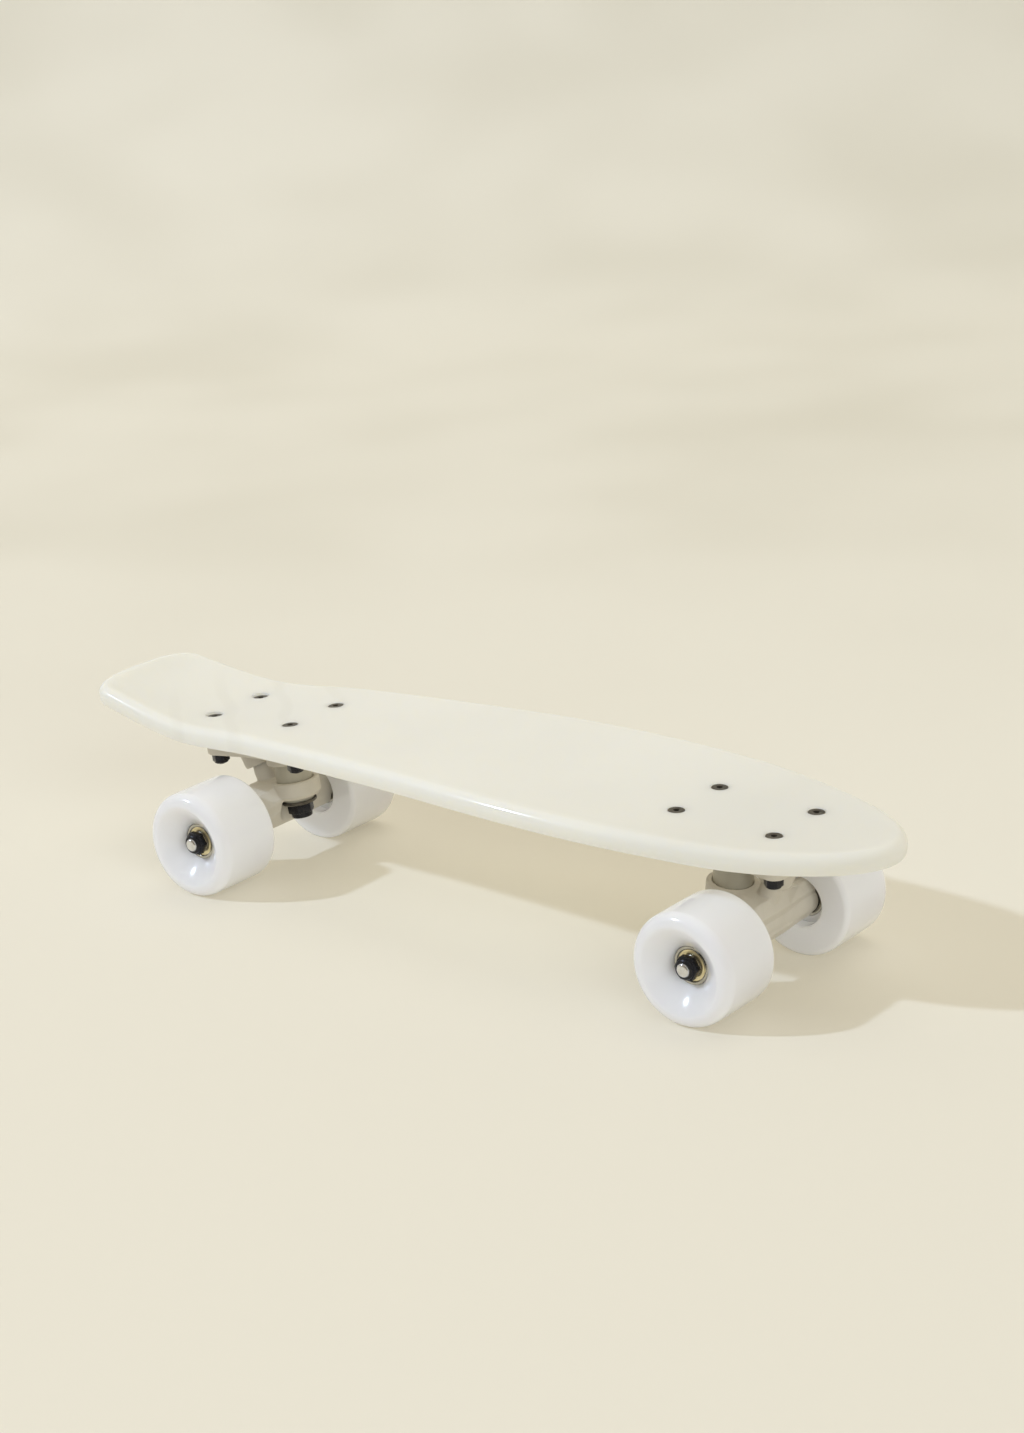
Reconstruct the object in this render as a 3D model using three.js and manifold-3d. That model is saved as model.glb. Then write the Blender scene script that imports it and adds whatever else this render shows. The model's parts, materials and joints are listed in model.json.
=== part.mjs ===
// Cruiser skateboard: a dished moulded deck with a kicktail on two steering trucks and four soft wheels.
// Millimetres. +X to the nose, +Y to the rider's left, +Z up.
// The floor is z = 0 and the origin is under the middle of the deck.
import * as THREE from 'three';
import { mergeVertices } from 'three/addons/utils/BufferGeometryUtils.js';
import Module from 'manifold-3d';

const wasm = await Module();
wasm.setup();

const degree = Math.PI / 180;

// Wheelbase and overhangs, all measured from the axles
const wheelbase = 362.7;
const noseOverhang = 88;
const tailOverhang = 115;

// Clearances
const fitGap = 0.3;
const runningGap = 0.3;
const cutOverrun = 5;
const weldDistance = 0.001;

// Deck
const deckThickness = 11.5;
const deckHalfWidth = 67.9;
const sideTaper = 0.09;
const noseRoundLength = 272;
const noseFullness = 1.95;
const tailRoundLength = 17.5;
const tailFullness = 2.5;
const rimLiftTail = 3.4;
const rimLiftRear = 1.5;
const rimLiftWaist = 1.4;
const rimLiftFront = 1.7;
const rimLiftShoulder = 1.5;
const rimLiftNose = 1.4;
const rimPower = 2.6;
const rimTopRadius = 2.4;
const rimUnderRadius = 1.6;
const rimDraft = 0.6;
const waistRise = 4.7;
const kickStart = 56;
const kickStartRise = 0.7;
const kickTipRise = 9.4;
const kickLead = 0.8;
const noseDrop = 2.2;
const noseSpineInset = 70;
const tailSpineInset = 38;
const truckPadHeight = 5.2;
const truckPadMargin = 2.5;
const frontPadAngle = 2.5 * degree;
const rearPadAngle = 4.5 * degree;

// Mounting screws and their holes
const boltSpacingLong = 63.5;
const boltSpacingWide = 41.3;
const screwRadius = 2.5;
const screwHeadRadius = 4.75;
const screwHeadHeight = 2.7;
const screwHeadRecess = 0.1;
const screwSocketRadius = 1.9;
const screwSocketDepth = 1.9;
const screwEndReach = 1.8;
const lockNutAcrossFlats = 8;
const lockNutHexHeight = 3.2;
const lockNutHeight = 4.8;

// Truck: heights and offsets are measured from the axle, square to the baseplate
const truckHeight = 46.9;
const patternOffset = 11.1;
const plateThickness = 7;
const plateCornerRadius = 7.6;
const plateWaistDepth = 3.5;
const bossRadius = 15;
const bossDraft = 1;
const bossDepth = 14.9;
const bushingSeatDepth = 1;
const ribThickness = 6;
const ribDepth = 6;

// Kingpin and the ring of the hanger that it clamps
const kingpinOffset = 20.1;
const ringHeight = 15.2;
const kingpinLean = 5 * degree;
const kingpinRadius = 4.75;
const kingpinHeadAcrossFlats = 14;
const kingpinHeadHeight = 6;
const kingpinEndReach = 0.6;
const ringRadius = 14.8;
const ringThickness = 11;
const ringChamfer = 2.3;
const ringUpperSeatDepth = 3;
const ringLowerSeatDepth = 4;
const ringBoreRadius = 6.6;
const bushingRadius = 11.3;
const bushingBulge = 0.3;
const coneBushingDrop = 2.8;
const coneBushingTipRadius = 9.2;
const washerRadius = 11;
const washerThickness = 1.4;
const washerLip = 0.8;
const kingpinNutAcrossFlats = 13.6;
const kingpinNutHexHeight = 6;
const kingpinNutHeight = 9;
const kingpinNutTipRadius = 5.6;
const nutRelief = 2.2;

// Pivot of the hanger in its cup
const pivotOffset = 10.5;
const pivotDrop = 10.8;
const pivotLean = 20.3 * degree;
const pivotTipRadius = 4.7;
const pivotMouthRadius = 5.6;
const pivotNeckRadius = 6.3;
const pivotNeckStart = 13;
const cupWall = 2.7;
const cupMouthWall = 0.6;
const cupDepth = 9;
const cupFloor = 1.8;
const housingWall = 2;
const housingDraft = 1;

// Hanger arms and axle
const axleRadius = 3.95;
const hangerHalfWidth = 43;
const armRootHalfWidth = 12;
const armEndStart = 31;
const armEndSetback = 1.2;
const armShoulderRadius = 8.8;
const armRootReach = 22;
const armRootRise = 20;
const armEndReach = 7.5;
const armEndRise = 13;
const axleEndReach = 1.4;
const axleEndChamfer = 0.8;

// Wheels, bearings and what holds them on the axle
const wheelRadius = 32.7;
const wheelWidth = 44.4;
const wheelOuterRound = 6.9;
const wheelInnerRound = 3.2;
const wheelDishRound = 2;
const wheelDishRoundDrop = 0.7;
const wheelRecessRadius = 14.9;
const wheelRecessDepth = 8;
const wheelLedgeRadius = 9;
const wheelMouthDepth = 11;
const bearingRadius = 11;
const bearingBoreRadius = 4.25;
const bearingWidth = 7;
const bearingInnerRaceRadius = 6.1;
const bearingOuterRaceRadius = 9.5;
const bearingShieldDepth = 0.5;
const spacerRadius = 5.5;
const spacerLength = 10;
const speedWasherRadius = 6;
const speedWasherThickness = 1;
const axleNutAcrossFlats = 12.7;
const axleNutHexHeight = 4.2;
const axleNutHeight = 6;

// Faces on round pieces
const wheelFaces = 24;
const bearingFaces = 12;
const ringFaces = 18;
const smallFaces = 10;
const hexFaces = 6;

// Steps along curves
const roundSteps = 3;
const innerRoundSteps = 2;
const plateSteps = 3;
const rimSteps = 2;
const noseSteps = 12;
const sideSteps = 9;
const tailSteps = 6;

// Places worked out from the driving dimensions
const deckLength = wheelbase + noseOverhang + tailOverhang;
const frontAxleX = deckLength / 2 - noseOverhang;
const rearAxleX = tailOverhang - deckLength / 2;
const deckTopAboveAxle = truckHeight + truckPadHeight + deckThickness;
const pivotHeight = truckHeight - pivotDrop;
const pivotNeckLength = (pivotHeight - armRootRise / 2) / Math.cos(pivotLean);
const armEndStop = hangerHalfWidth - armEndSetback;
const innerBearingFace = hangerHalfWidth + runningGap;
const spacerStart = innerBearingFace + bearingWidth + runningGap;
const outerBearingStart = spacerStart + spacerLength + runningGap;
const speedWasherStart = outerBearingStart + bearingWidth + runningGap;
const axleNutStart = speedWasherStart + speedWasherThickness;
const axleEnd = axleNutStart + axleNutHeight + axleEndReach;
const wheelInnerFace = innerBearingFace - wheelRecessDepth;
const bossFace = (truckHeight - bossDepth - ringHeight) / Math.cos(kingpinLean);
const washerTop = -ringThickness / 2 - coneBushingDrop;
const kingpinNutTop = washerTop - washerThickness;
const cupRadius = pivotTipRadius + fitGap + cupWall;
const cupTop = pivotTipRadius + fitGap + cupFloor;
const housingRadius = cupRadius + fitGap + housingWall;

const ends = [
  { end: 'front', axleX: frontAxleX, turn: 0, padAngle: frontPadAngle },
  { end: 'rear', axleX: rearAxleX, turn: Math.PI, padAngle: rearPadAngle },
];
const corners = [
  { number: 1, along: 1, across: 1 },
  { number: 2, along: 1, across: -1 },
  { number: 3, along: -1, across: 1 },
  { number: 4, along: -1, across: -1 },
];

// Outlines of the hanger arm as shares of its reach and rise, from the outer ridge round over the top
const armRootShares = [
  [0.36, 0.9], [-0.18, 0.97], [-0.72, 0.97], [-1, 0.6], [-0.77, 0.2],
  [-0.36, -0.45], [0.27, -0.45], [0.41, -0.2], [0.32, 0.1], [0.45, 0.45],
];
const armEndShares = [
  [0.47, 0.98], [0, 1], [-0.53, 0.92], [-1.07, 0.61], [-1.2, 0.15],
  [-0.87, -0.69], [0.6, -0.69], [0.93, -0.35], [0.8, 0.12], [1, 0.58],
];

// Levels of the deck's skin as shares of the way from the spine to the rim
const topShares = [0, 0.4, 0.75];
const undersideShares = [0.7, 0];

// Materials
const finish = (color, roughness, metalness) =>
  new THREE.MeshStandardMaterial({ color, roughness, metalness });
const ivoryPlastic = finish(0xe4e2d6, 0.3, 0);
const whiteUrethane = finish(0xe8e7ea, 0.25, 0);
const greigePaint = finish(0xb4ad9c, 0.55, 0.1);
const greigeUrethane = finish(0xa9a291, 0.6, 0);
const blackOxide = finish(0x2b2927, 0.45, 0.7);
const blackNut = finish(0x17181b, 0.35, 0.6);
const brightSteel = finish(0xb9b7ae, 0.25, 1);
const zincSteel = finish(0xc9cbcc, 0.2, 1);
const darkUrethane = finish(0x2c2b2a, 0.6, 0);

// Mesh and solid helpers

function signedVolume(geometry) {
  const p = geometry.getAttribute('position');
  const index = geometry.index.array;
  const [a, b, c] = [new THREE.Vector3(), new THREE.Vector3(), new THREE.Vector3()];
  let sum = 0;
  for (let i = 0; i < index.length; i += 3) {
    a.fromBufferAttribute(p, index[i]);
    b.fromBufferAttribute(p, index[i + 1]);
    c.fromBufferAttribute(p, index[i + 2]);
    sum += a.dot(b.cross(c));
  }
  return sum;
}

// Welds shared vertices, drops flattened triangles and turns the faces outwards
function closedGeometry(geometry) {
  const bare = new THREE.BufferGeometry();
  bare.setAttribute('position', geometry.getAttribute('position'));
  if (geometry.index) bare.setIndex(geometry.index);
  const welded = mergeVertices(bare, weldDistance);
  const source = welded.index.array;
  const kept = [];
  for (let i = 0; i < source.length; i += 3) {
    const [a, b, c] = [source[i], source[i + 1], source[i + 2]];
    if (a !== b && b !== c && c !== a) kept.push(a, b, c);
  }
  welded.setIndex(kept);
  if (signedVolume(welded) < 0) welded.setIndex(kept.reverse());
  return welded;
}

function solidOf(geometry) {
  const closed = closedGeometry(geometry);
  const vertProperties = new Float32Array(closed.getAttribute('position').array);
  const triVerts = new Uint32Array(closed.index.array);
  return new wasm.Manifold(new wasm.Mesh({ numProp: 3, vertProperties, triVerts }));
}

function geometryOf(solid) {
  const mesh = solid.getMesh();
  const geometry = new THREE.BufferGeometry();
  geometry.setAttribute('position', new THREE.BufferAttribute(mesh.vertProperties, 3));
  geometry.setIndex(new THREE.BufferAttribute(mesh.triVerts, 1));
  return geometry;
}

// A profile of [radius, height] points turned about Z.
// Circumscribed puts its flats, not its corners, at the radius.
function turned(profile, faces, circumscribed = false) {
  const grow = circumscribed ? 1 / Math.cos(Math.PI / faces) : 1;
  const points = profile.map(([radius, height]) => new THREE.Vector2(radius * grow, height));
  return new THREE.LatheGeometry(points, faces, Math.PI / faces).rotateX(Math.PI / 2);
}

// The same, closed on itself as a ring, or capped on the axis
const turnedRing = (profile, faces, circumscribed) =>
  turned([...profile, profile[0]], faces, circumscribed);
const turnedRod = (profile, faces, circumscribed) =>
  turned([[0, profile[0][1]], ...profile, [0, profile.at(-1)[1]]], faces, circumscribed);
const cylinder = (radius, low, high, faces, circumscribed) =>
  turnedRod([[radius, low], [radius, high]], faces, circumscribed);

// A hexagonal prism with two flats facing +Y and -Y
function hexPrism(acrossFlats, low, high) {
  return cylinder(acrossFlats / 2, low, high, hexFaces, true);
}

function box(lengthX, lengthY, low, high) {
  return new THREE.BoxGeometry(lengthX, lengthY, high - low).translate(0, 0, (low + high) / 2);
}

function slab(shape, low, high) {
  const options = { depth: high - low, bevelEnabled: false, curveSegments: plateSteps };
  return new THREE.ExtrudeGeometry(shape, options).translate(0, 0, low);
}

function arcPoints(centreRadius, centreHeight, radius, from, to, steps) {
  return Array.from({ length: steps + 1 }, (_, i) => {
    const angle = from + ((to - from) * i) / steps;
    return [centreRadius + radius * Math.cos(angle), centreHeight + radius * Math.sin(angle)];
  });
}

// Rings of points joined one to the next.
// The first and last are either folded onto a line or capped by a fan.
function lofted(rings, capped = false) {
  const count = rings[0].length;
  const positions = rings.flat(2);
  const indices = [];
  for (let ring = 0; ring < rings.length - 1; ring++) {
    for (let i = 0; i < count; i++) {
      const a = ring * count + i;
      const b = ring * count + ((i + 1) % count);
      indices.push(a, b, a + count, b, b + count, a + count);
    }
  }
  for (const [ring, flip] of capped ? [[0, true], [rings.length - 1, false]] : []) {
    const centre = positions.length / 3;
    const add = (sum, point) => sum.map((value, axis) => value + point[axis]);
    const sums = rings[ring].reduce(add, [0, 0, 0]);
    positions.push(...sums.map((value) => value / count));
    for (let i = 0; i < count; i++) {
      const a = ring * count + i;
      const b = ring * count + ((i + 1) % count);
      indices.push(...(flip ? [b, a, centre] : [a, b, centre]));
    }
  }
  const geometry = new THREE.BufferGeometry();
  geometry.setAttribute('position', new THREE.Float32BufferAttribute(positions, 3));
  geometry.setIndex(indices);
  return geometry;
}

function placeAt(x, z, lean) {
  const place = new THREE.Matrix4().makeTranslation(x, 0, z);
  return place.multiply(new THREE.Matrix4().makeRotationY(lean));
}

const kingpinPlace = placeAt(-kingpinOffset, ringHeight, kingpinLean);
const pivotPlace = placeAt(pivotOffset, pivotHeight, pivotLean);
const onKingpin = (geometry) => geometry.applyMatrix4(kingpinPlace);
const onPivot = (geometry) => geometry.applyMatrix4(pivotPlace);

// Turns a truck's own frame, outward end at +X, into the board's frame
function truckPlace({ axleX, turn, padAngle }) {
  const place = new THREE.Matrix4().makeTranslation(axleX, 0, wheelRadius);
  place.multiply(new THREE.Matrix4().makeRotationZ(turn));
  return place.multiply(new THREE.Matrix4().makeRotationY(padAngle));
}

function boltPlace({ along, across }) {
  return [(along * boltSpacingLong) / 2 - patternOffset, (across * boltSpacingWide) / 2];
}

// Deck

// A point of the deck's top over the bolt pattern, along the deck from the pattern's middle
function padTopPoint(end, along) {
  const local = new THREE.Vector3(-patternOffset + along, 0, deckTopAboveAxle);
  const point = local.applyMatrix4(truckPlace(end));
  return { x: point.x, z: point.z };
}

// Stations of the deck's side view from tail to nose: the centreline's height, and the rim's lift above it
function sideStations() {
  const [front, rear] = ends;
  const rearOuter = padTopPoint(rear, boltSpacingLong / 2);
  const rearInner = padTopPoint(rear, -boltSpacingLong / 2);
  const frontInner = padTopPoint(front, -boltSpacingLong / 2);
  const frontOuter = padTopPoint(front, boltSpacingLong / 2);
  const padLevel = (rearInner.z + rearOuter.z) / 2;
  const [tailX, noseX] = [-deckLength / 2, deckLength / 2];
  const waistX = (rearInner.x + frontInner.x) / 2;
  const crown = [
    { x: tailX, z: padLevel + kickTipRise },
    { x: tailX + kickStart, z: padLevel + kickStartRise },
    { x: rearOuter.x, z: rearOuter.z + kickLead },
    rearInner,
    { x: waistX, z: padLevel + waistRise },
    frontInner,
    frontOuter,
    { x: noseX, z: padLevel - noseDrop },
  ];
  const lift = [
    { x: tailX, z: rimLiftTail },
    { x: rearOuter.x, z: rimLiftRear },
    { x: waistX, z: rimLiftWaist },
    { x: frontInner.x, z: rimLiftFront },
    { x: frontOuter.x, z: rimLiftShoulder },
    { x: noseX, z: rimLiftNose },
  ];
  return { crown, lift };
}

// A smooth curve through stations, as a function of x
function curveThrough(stations) {
  const slopes = stations.map((_, i) => {
    const before = stations[Math.max(i - 1, 0)];
    const after = stations[Math.min(i + 1, stations.length - 1)];
    return (after.z - before.z) / (after.x - before.x);
  });
  return (x) => {
    const reached = stations.findIndex((station) => station.x >= x);
    const next = reached < 0 ? stations.length - 1 : Math.max(reached, 1);
    const [a, b] = [stations[next - 1], stations[next]];
    const span = b.x - a.x;
    const t = (x - a.x) / span;
    const ease = t * t * (3 - 2 * t);
    const lead = t * (1 - t) * (1 - t) * slopes[next - 1] * span;
    const tail = t * t * (1 - t) * slopes[next] * span;
    return a.z + (b.z - a.z) * ease + lead - tail;
  };
}

// Half of the plan outline, from the nose tip along the left side to the tail tip
function halfOutline() {
  const noseStart = deckLength / 2 - noseRoundLength;
  const tailStart = tailRoundLength - deckLength / 2;
  const sideWidth = (x) => deckHalfWidth + sideTaper * x;
  const round = (angle, fullness) => Math.abs(angle) ** (2 / fullness);
  const points = [];
  for (let i = 0; i <= noseSteps; i++) {
    const angle = ((i / noseSteps) * Math.PI) / 2;
    const x = noseStart + noseRoundLength * round(Math.cos(angle), noseFullness);
    points.push([x, sideWidth(x) * round(Math.sin(angle), noseFullness)]);
  }
  for (let i = 1; i < sideSteps; i++) {
    const x = noseStart + ((tailStart - noseStart) * i) / sideSteps;
    points.push([x, sideWidth(x)]);
  }
  for (let i = 0; i <= tailSteps; i++) {
    const angle = ((i / tailSteps) * Math.PI) / 2;
    const x = tailStart - tailRoundLength * round(Math.sin(angle), tailFullness);
    points.push([x, sideWidth(x) * round(Math.cos(angle), tailFullness)]);
  }
  points[0][1] = 0;
  points.at(-1)[1] = 0;
  return points;
}

// Levels of the deck's skin, from the top's spine over the rim to the underside's spine
function deckLevels() {
  const levels = topShares.map((share) => ({ share, inset: rimTopRadius, drop: 0 }));
  const corner = (radius, from, inset, drop) => {
    for (let i = 0; i <= rimSteps; i++) {
      const angle = from - ((Math.PI / 2) * i) / rimSteps;
      const reach = radius * (1 - Math.cos(angle));
      levels.push({ share: 1, inset: inset + reach, drop: drop - radius * Math.sin(angle) });
    }
  };
  corner(rimTopRadius, Math.PI / 2, 0, rimTopRadius);
  corner(rimUnderRadius, 0, rimDraft, deckThickness - rimUnderRadius);
  const underInset = rimDraft + rimUnderRadius;
  const under = undersideShares.map((share) => ({ share, inset: underInset, drop: deckThickness }));
  return [...levels, ...under];
}

function deckSkin() {
  const half = halfOutline();
  const mirrored = half.slice(1, -1).reverse().map(([x, y]) => [x, -y]);
  const outline = [...half, ...mirrored];
  const { crown, lift } = sideStations();
  const [crownAt, liftAt] = [curveThrough(crown), curveThrough(lift)];
  const spineLow = -deckLength / 2 + tailSpineInset;
  const spineHigh = deckLength / 2 - noseSpineInset;
  const rings = deckLevels().map(({ share, inset, drop }) => outline.map(([x, y]) => {
    const spineX = Math.min(Math.max(x, spineLow), spineHigh);
    const reach = Math.hypot(x - spineX, y);
    const part = share * (1 - inset / reach);
    const px = spineX + (x - spineX) * part;
    return [px, y * part, crownAt(px) + liftAt(px) * share ** rimPower - drop];
  }));
  return lofted(rings);
}

// The flat pad under one end of the deck that its baseplate is bolted to
function truckPad() {
  const shape = plateOutline(truckPadMargin);
  const height = truckPadHeight + deckThickness / 2;
  return slab(shape, truckHeight, truckHeight + height);
}

// A countersunk hole, open upwards, in the truck's frame
function screwHoleCut(corner) {
  const [x, y] = boltPlace(corner);
  const headTop = deckTopAboveAxle - screwHeadRecess;
  const profile = [
    [screwRadius + fitGap, truckHeight - cutOverrun],
    [screwRadius + fitGap, headTop - screwHeadHeight - fitGap],
    [screwHeadRadius + fitGap, headTop - fitGap],
    [screwHeadRadius + fitGap, deckTopAboveAxle + cutOverrun],
  ];
  return turnedRod(profile, smallFaces, true).translate(x, y, 0);
}

function makeDeck() {
  let solid = solidOf(deckSkin());
  for (const end of ends) solid = solid.add(solidOf(truckPad().applyMatrix4(truckPlace(end))));
  for (const end of ends) {
    for (const corner of corners) {
      solid = solid.subtract(solidOf(screwHoleCut(corner).applyMatrix4(truckPlace(end))));
    }
  }
  return geometryOf(solid);
}

// Truck pieces, in the truck's frame

// Plan of the baseplate: a rounded lobe round each bolt, waisted sides, and a margin all round
function plateOutline(margin) {
  const x = boltSpacingLong / 2;
  const y = boltSpacingWide / 2;
  const radius = plateCornerRadius + margin;
  const waistY = y + radius - 2 * plateWaistDepth;
  const shape = new THREE.Shape();
  shape.absarc(x - patternOffset, y, radius, 0, Math.PI / 2);
  shape.quadraticCurveTo(-patternOffset, waistY, -x - patternOffset, y + radius);
  shape.absarc(-x - patternOffset, y, radius, Math.PI / 2, Math.PI);
  shape.absarc(-x - patternOffset, -y, radius, Math.PI, 1.5 * Math.PI);
  shape.quadraticCurveTo(-patternOffset, -waistY, x - patternOffset, -y - radius);
  shape.absarc(x - patternOffset, -y, radius, 1.5 * Math.PI, 2 * Math.PI);
  return shape;
}

function makeBaseplate() {
  const plate = slab(plateOutline(0), truckHeight - plateThickness, truckHeight);
  const topAlongKingpin = (truckHeight - ringHeight) / Math.cos(kingpinLean) + cutOverrun;
  const boss = onKingpin(turnedRod([
    [bossRadius, bossFace],
    [bossRadius + bossDraft, topAlongKingpin],
  ], ringFaces));
  const housing = onPivot(turnedRod([
    [housingRadius - housingDraft, -cupDepth],
    [housingRadius, -cupDepth + housingDraft],
    [housingRadius + housingDraft, cupTop + cutOverrun],
  ], ringFaces));
  const ribLow = truckHeight - plateThickness - ribDepth;
  const rib = box(kingpinOffset + pivotOffset, ribThickness, ribLow, truckHeight - housingDraft);
  rib.translate((pivotOffset - kingpinOffset) / 2, 0, 0);
  const above = box(wheelbase, wheelbase, truckHeight, 2 * truckHeight);
  let solid = solidOf(plate).subtract(solidOf(above));
  for (const stud of [boss, housing, rib]) solid = solid.add(solidOf(stud).subtract(solidOf(above)));
  for (const cut of baseplateCuts(topAlongKingpin)) solid = solid.subtract(solidOf(cut));
  return geometryOf(solid);
}

function baseplateCuts(topAlongKingpin) {
  const screwCutLow = truckHeight - plateThickness - cutOverrun;
  const screwCutHigh = truckHeight + cutOverrun;
  const screwCuts = corners.map((corner) => {
    const [x, y] = boltPlace(corner);
    return cylinder(screwRadius + fitGap, screwCutLow, screwCutHigh, smallFaces, true).translate(x, y, 0);
  });
  const headSeat = kingpinHeadSeat() - fitGap;
  const bushingSeat = bossFace + bushingSeatDepth;
  return [
    ...screwCuts,
    onKingpin(cylinder(kingpinRadius + fitGap, bossFace - cutOverrun, topAlongKingpin, smallFaces, true)),
    onKingpin(hexPrism(kingpinHeadAcrossFlats + 2 * fitGap, headSeat, topAlongKingpin)),
    onKingpin(cylinder(bushingRadius + fitGap, bossFace - cutOverrun, bushingSeat, ringFaces, true)),
    onPivot(cylinder(cupRadius + fitGap, -cupDepth - cutOverrun, cupTop + fitGap, ringFaces, true)),
  ];
}

// Height along the kingpin of the underside of its head, sunk below the baseplate's top
function kingpinHeadSeat() {
  const sink = (kingpinHeadAcrossFlats / 2) * Math.tan(kingpinLean) + fitGap;
  return (truckHeight - ringHeight) / Math.cos(kingpinLean) - sink - kingpinHeadHeight;
}

function makePivotCup() {
  const cavityRadius = pivotTipRadius + fitGap;
  return onPivot(turned([
    [0, cupTop],
    [cupRadius, cupTop],
    [cupRadius, -cupDepth],
    [cupRadius - cupMouthWall, -cupDepth],
    [cavityRadius + fitGap, 0],
    ...arcPoints(0, 0, cavityRadius, 0, Math.PI / 2, roundSteps).slice(1, -1),
    [0, cavityRadius],
  ], ringFaces));
}

function makeKingpin() {
  const low = kingpinNutTop - kingpinNutHeight - kingpinEndReach;
  const seat = kingpinHeadSeat();
  const shank = turnedRod([
    [kingpinRadius - axleEndChamfer, low],
    [kingpinRadius, low + axleEndChamfer],
    [kingpinRadius, seat + fitGap],
  ], smallFaces);
  const head = hexPrism(kingpinHeadAcrossFlats, seat, seat + kingpinHeadHeight);
  return onKingpin(geometryOf(solidOf(shank).add(solidOf(head))));
}

function makeBoardsideBushing() {
  const low = ringThickness / 2 - ringUpperSeatDepth + fitGap;
  const high = bossFace + bushingSeatDepth - fitGap;
  const bore = kingpinRadius + fitGap;
  return onKingpin(turnedRing([
    [bore, low],
    [bushingRadius - bushingBulge, low],
    [bushingRadius, (low + high) / 2],
    [bushingRadius - bushingBulge, high],
    [bore, high],
  ], ringFaces));
}

function makeRoadsideBushing() {
  const high = -ringThickness / 2 + ringLowerSeatDepth - fitGap;
  const bore = kingpinRadius + fitGap;
  return onKingpin(turnedRing([
    [bore, washerTop],
    [coneBushingTipRadius, washerTop],
    [bushingRadius - 2 * bushingBulge, -ringThickness / 2],
    [bushingRadius - 2 * bushingBulge, high],
    [bore, high],
  ], ringFaces));
}

function makeKingpinWasher() {
  const bore = kingpinRadius + fitGap;
  const low = washerTop - washerThickness;
  return onKingpin(turnedRing([
    [bore, low],
    [washerRadius - washerLip, low],
    [washerRadius, low + washerLip],
    [washerRadius, washerTop + washerLip],
    [coneBushingTipRadius + fitGap, washerTop],
    [bore, washerTop],
  ], ringFaces));
}

// A hexagonal lock nut about Z, its hex on a face at start and its collar beyond, up or down by direction
function lockNut({ acrossFlats, hexHeight, height, boreRadius, tipRadius, start, direction }) {
  const at = (share) => start + direction * share;
  const cornerReach = acrossFlats / 2 / Math.cos(Math.PI / hexFaces) - acrossFlats / 2;
  const ordered = (profile) => (direction > 0 ? profile : profile.reverse());
  const envelope = turnedRod(ordered([
    [acrossFlats, at(0)],
    [acrossFlats, at(hexHeight) - direction * (acrossFlats / 2)],
    [acrossFlats / 2, at(hexHeight)],
  ]), smallFaces, true);
  const [low, high] = [at(0), at(hexHeight)].sort((a, b) => a - b);
  const collarRadius = acrossFlats / 2 - cornerReach / 2;
  const collar = turnedRod(ordered([
    [collarRadius, at(hexHeight - cornerReach)],
    [collarRadius, at(hexHeight + cornerReach / 2)],
    [tipRadius, at(height)],
  ]), smallFaces);
  const bore = cylinder(boreRadius, low - height, high + height, smallFaces, true);
  const hex = solidOf(hexPrism(acrossFlats, low, high)).intersect(solidOf(envelope));
  return geometryOf(hex.add(solidOf(collar)).subtract(solidOf(bore)));
}

function makeKingpinNut() {
  return onKingpin(lockNut({
    acrossFlats: kingpinNutAcrossFlats, hexHeight: kingpinNutHexHeight, height: kingpinNutHeight,
    boreRadius: kingpinRadius + fitGap, tipRadius: kingpinNutTipRadius, start: kingpinNutTop, direction: -1,
  }));
}

function armRing(shares, reach, rise, y) {
  return shares.map(([x, z]) => [x * reach, y, z * rise]);
}

function makeHanger() {
  const root = (y) => armRing(armRootShares, armRootReach, armRootRise, y);
  const end = (y) => armRing(armEndShares, armEndReach, armEndRise, y);
  const arms = lofted([
    end(-armEndStop), end(-armEndStart), root(-armRootHalfWidth),
    root(armRootHalfWidth), end(armEndStart), end(armEndStop),
  ], true);
  const shoulder = cylinder(armShoulderRadius, -hangerHalfWidth, hangerHalfWidth, ringFaces);
  shoulder.rotateX(Math.PI / 2);
  const half = ringThickness / 2;
  const ring = onKingpin(turnedRod([
    [ringRadius - ringChamfer, -half],
    [ringRadius, ringChamfer - half],
    [ringRadius, half - fitGap],
    [ringRadius - fitGap, half],
  ], ringFaces));
  const pivot = onPivot(turnedRod([
    [pivotNeckRadius, -pivotNeckLength],
    [pivotNeckRadius, -pivotNeckStart],
    [pivotMouthRadius, -cupDepth],
    ...arcPoints(0, 0, pivotTipRadius, 0, Math.PI / 2, roundSteps).slice(0, -1),
    [pivotTipRadius * Math.sin(degree), pivotTipRadius],
  ], smallFaces));
  let solid = solidOf(arms).add(solidOf(shoulder)).add(solidOf(ring)).add(solidOf(pivot));
  for (const cut of hangerCuts()) solid = solid.subtract(solidOf(cut));
  return geometryOf(solid);
}

function hangerCuts() {
  const half = ringThickness / 2;
  const seatRadius = bushingRadius + fitGap;
  const nutLow = kingpinNutTop - kingpinNutHeight - cutOverrun;
  return [
    onKingpin(cylinder(seatRadius, half - ringUpperSeatDepth, bossFace, ringFaces, true)),
    onKingpin(cylinder(seatRadius, -half - fitGap, -half + ringLowerSeatDepth, ringFaces, true)),
    onKingpin(cylinder(washerRadius + nutRelief, nutLow, -half, ringFaces, true)),
    onKingpin(cylinder(ringBoreRadius, -ringThickness, ringThickness, smallFaces, true)),
    cylinder(axleRadius + fitGap, -axleEnd, axleEnd, smallFaces, true).rotateX(Math.PI / 2),
  ];
}

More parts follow.
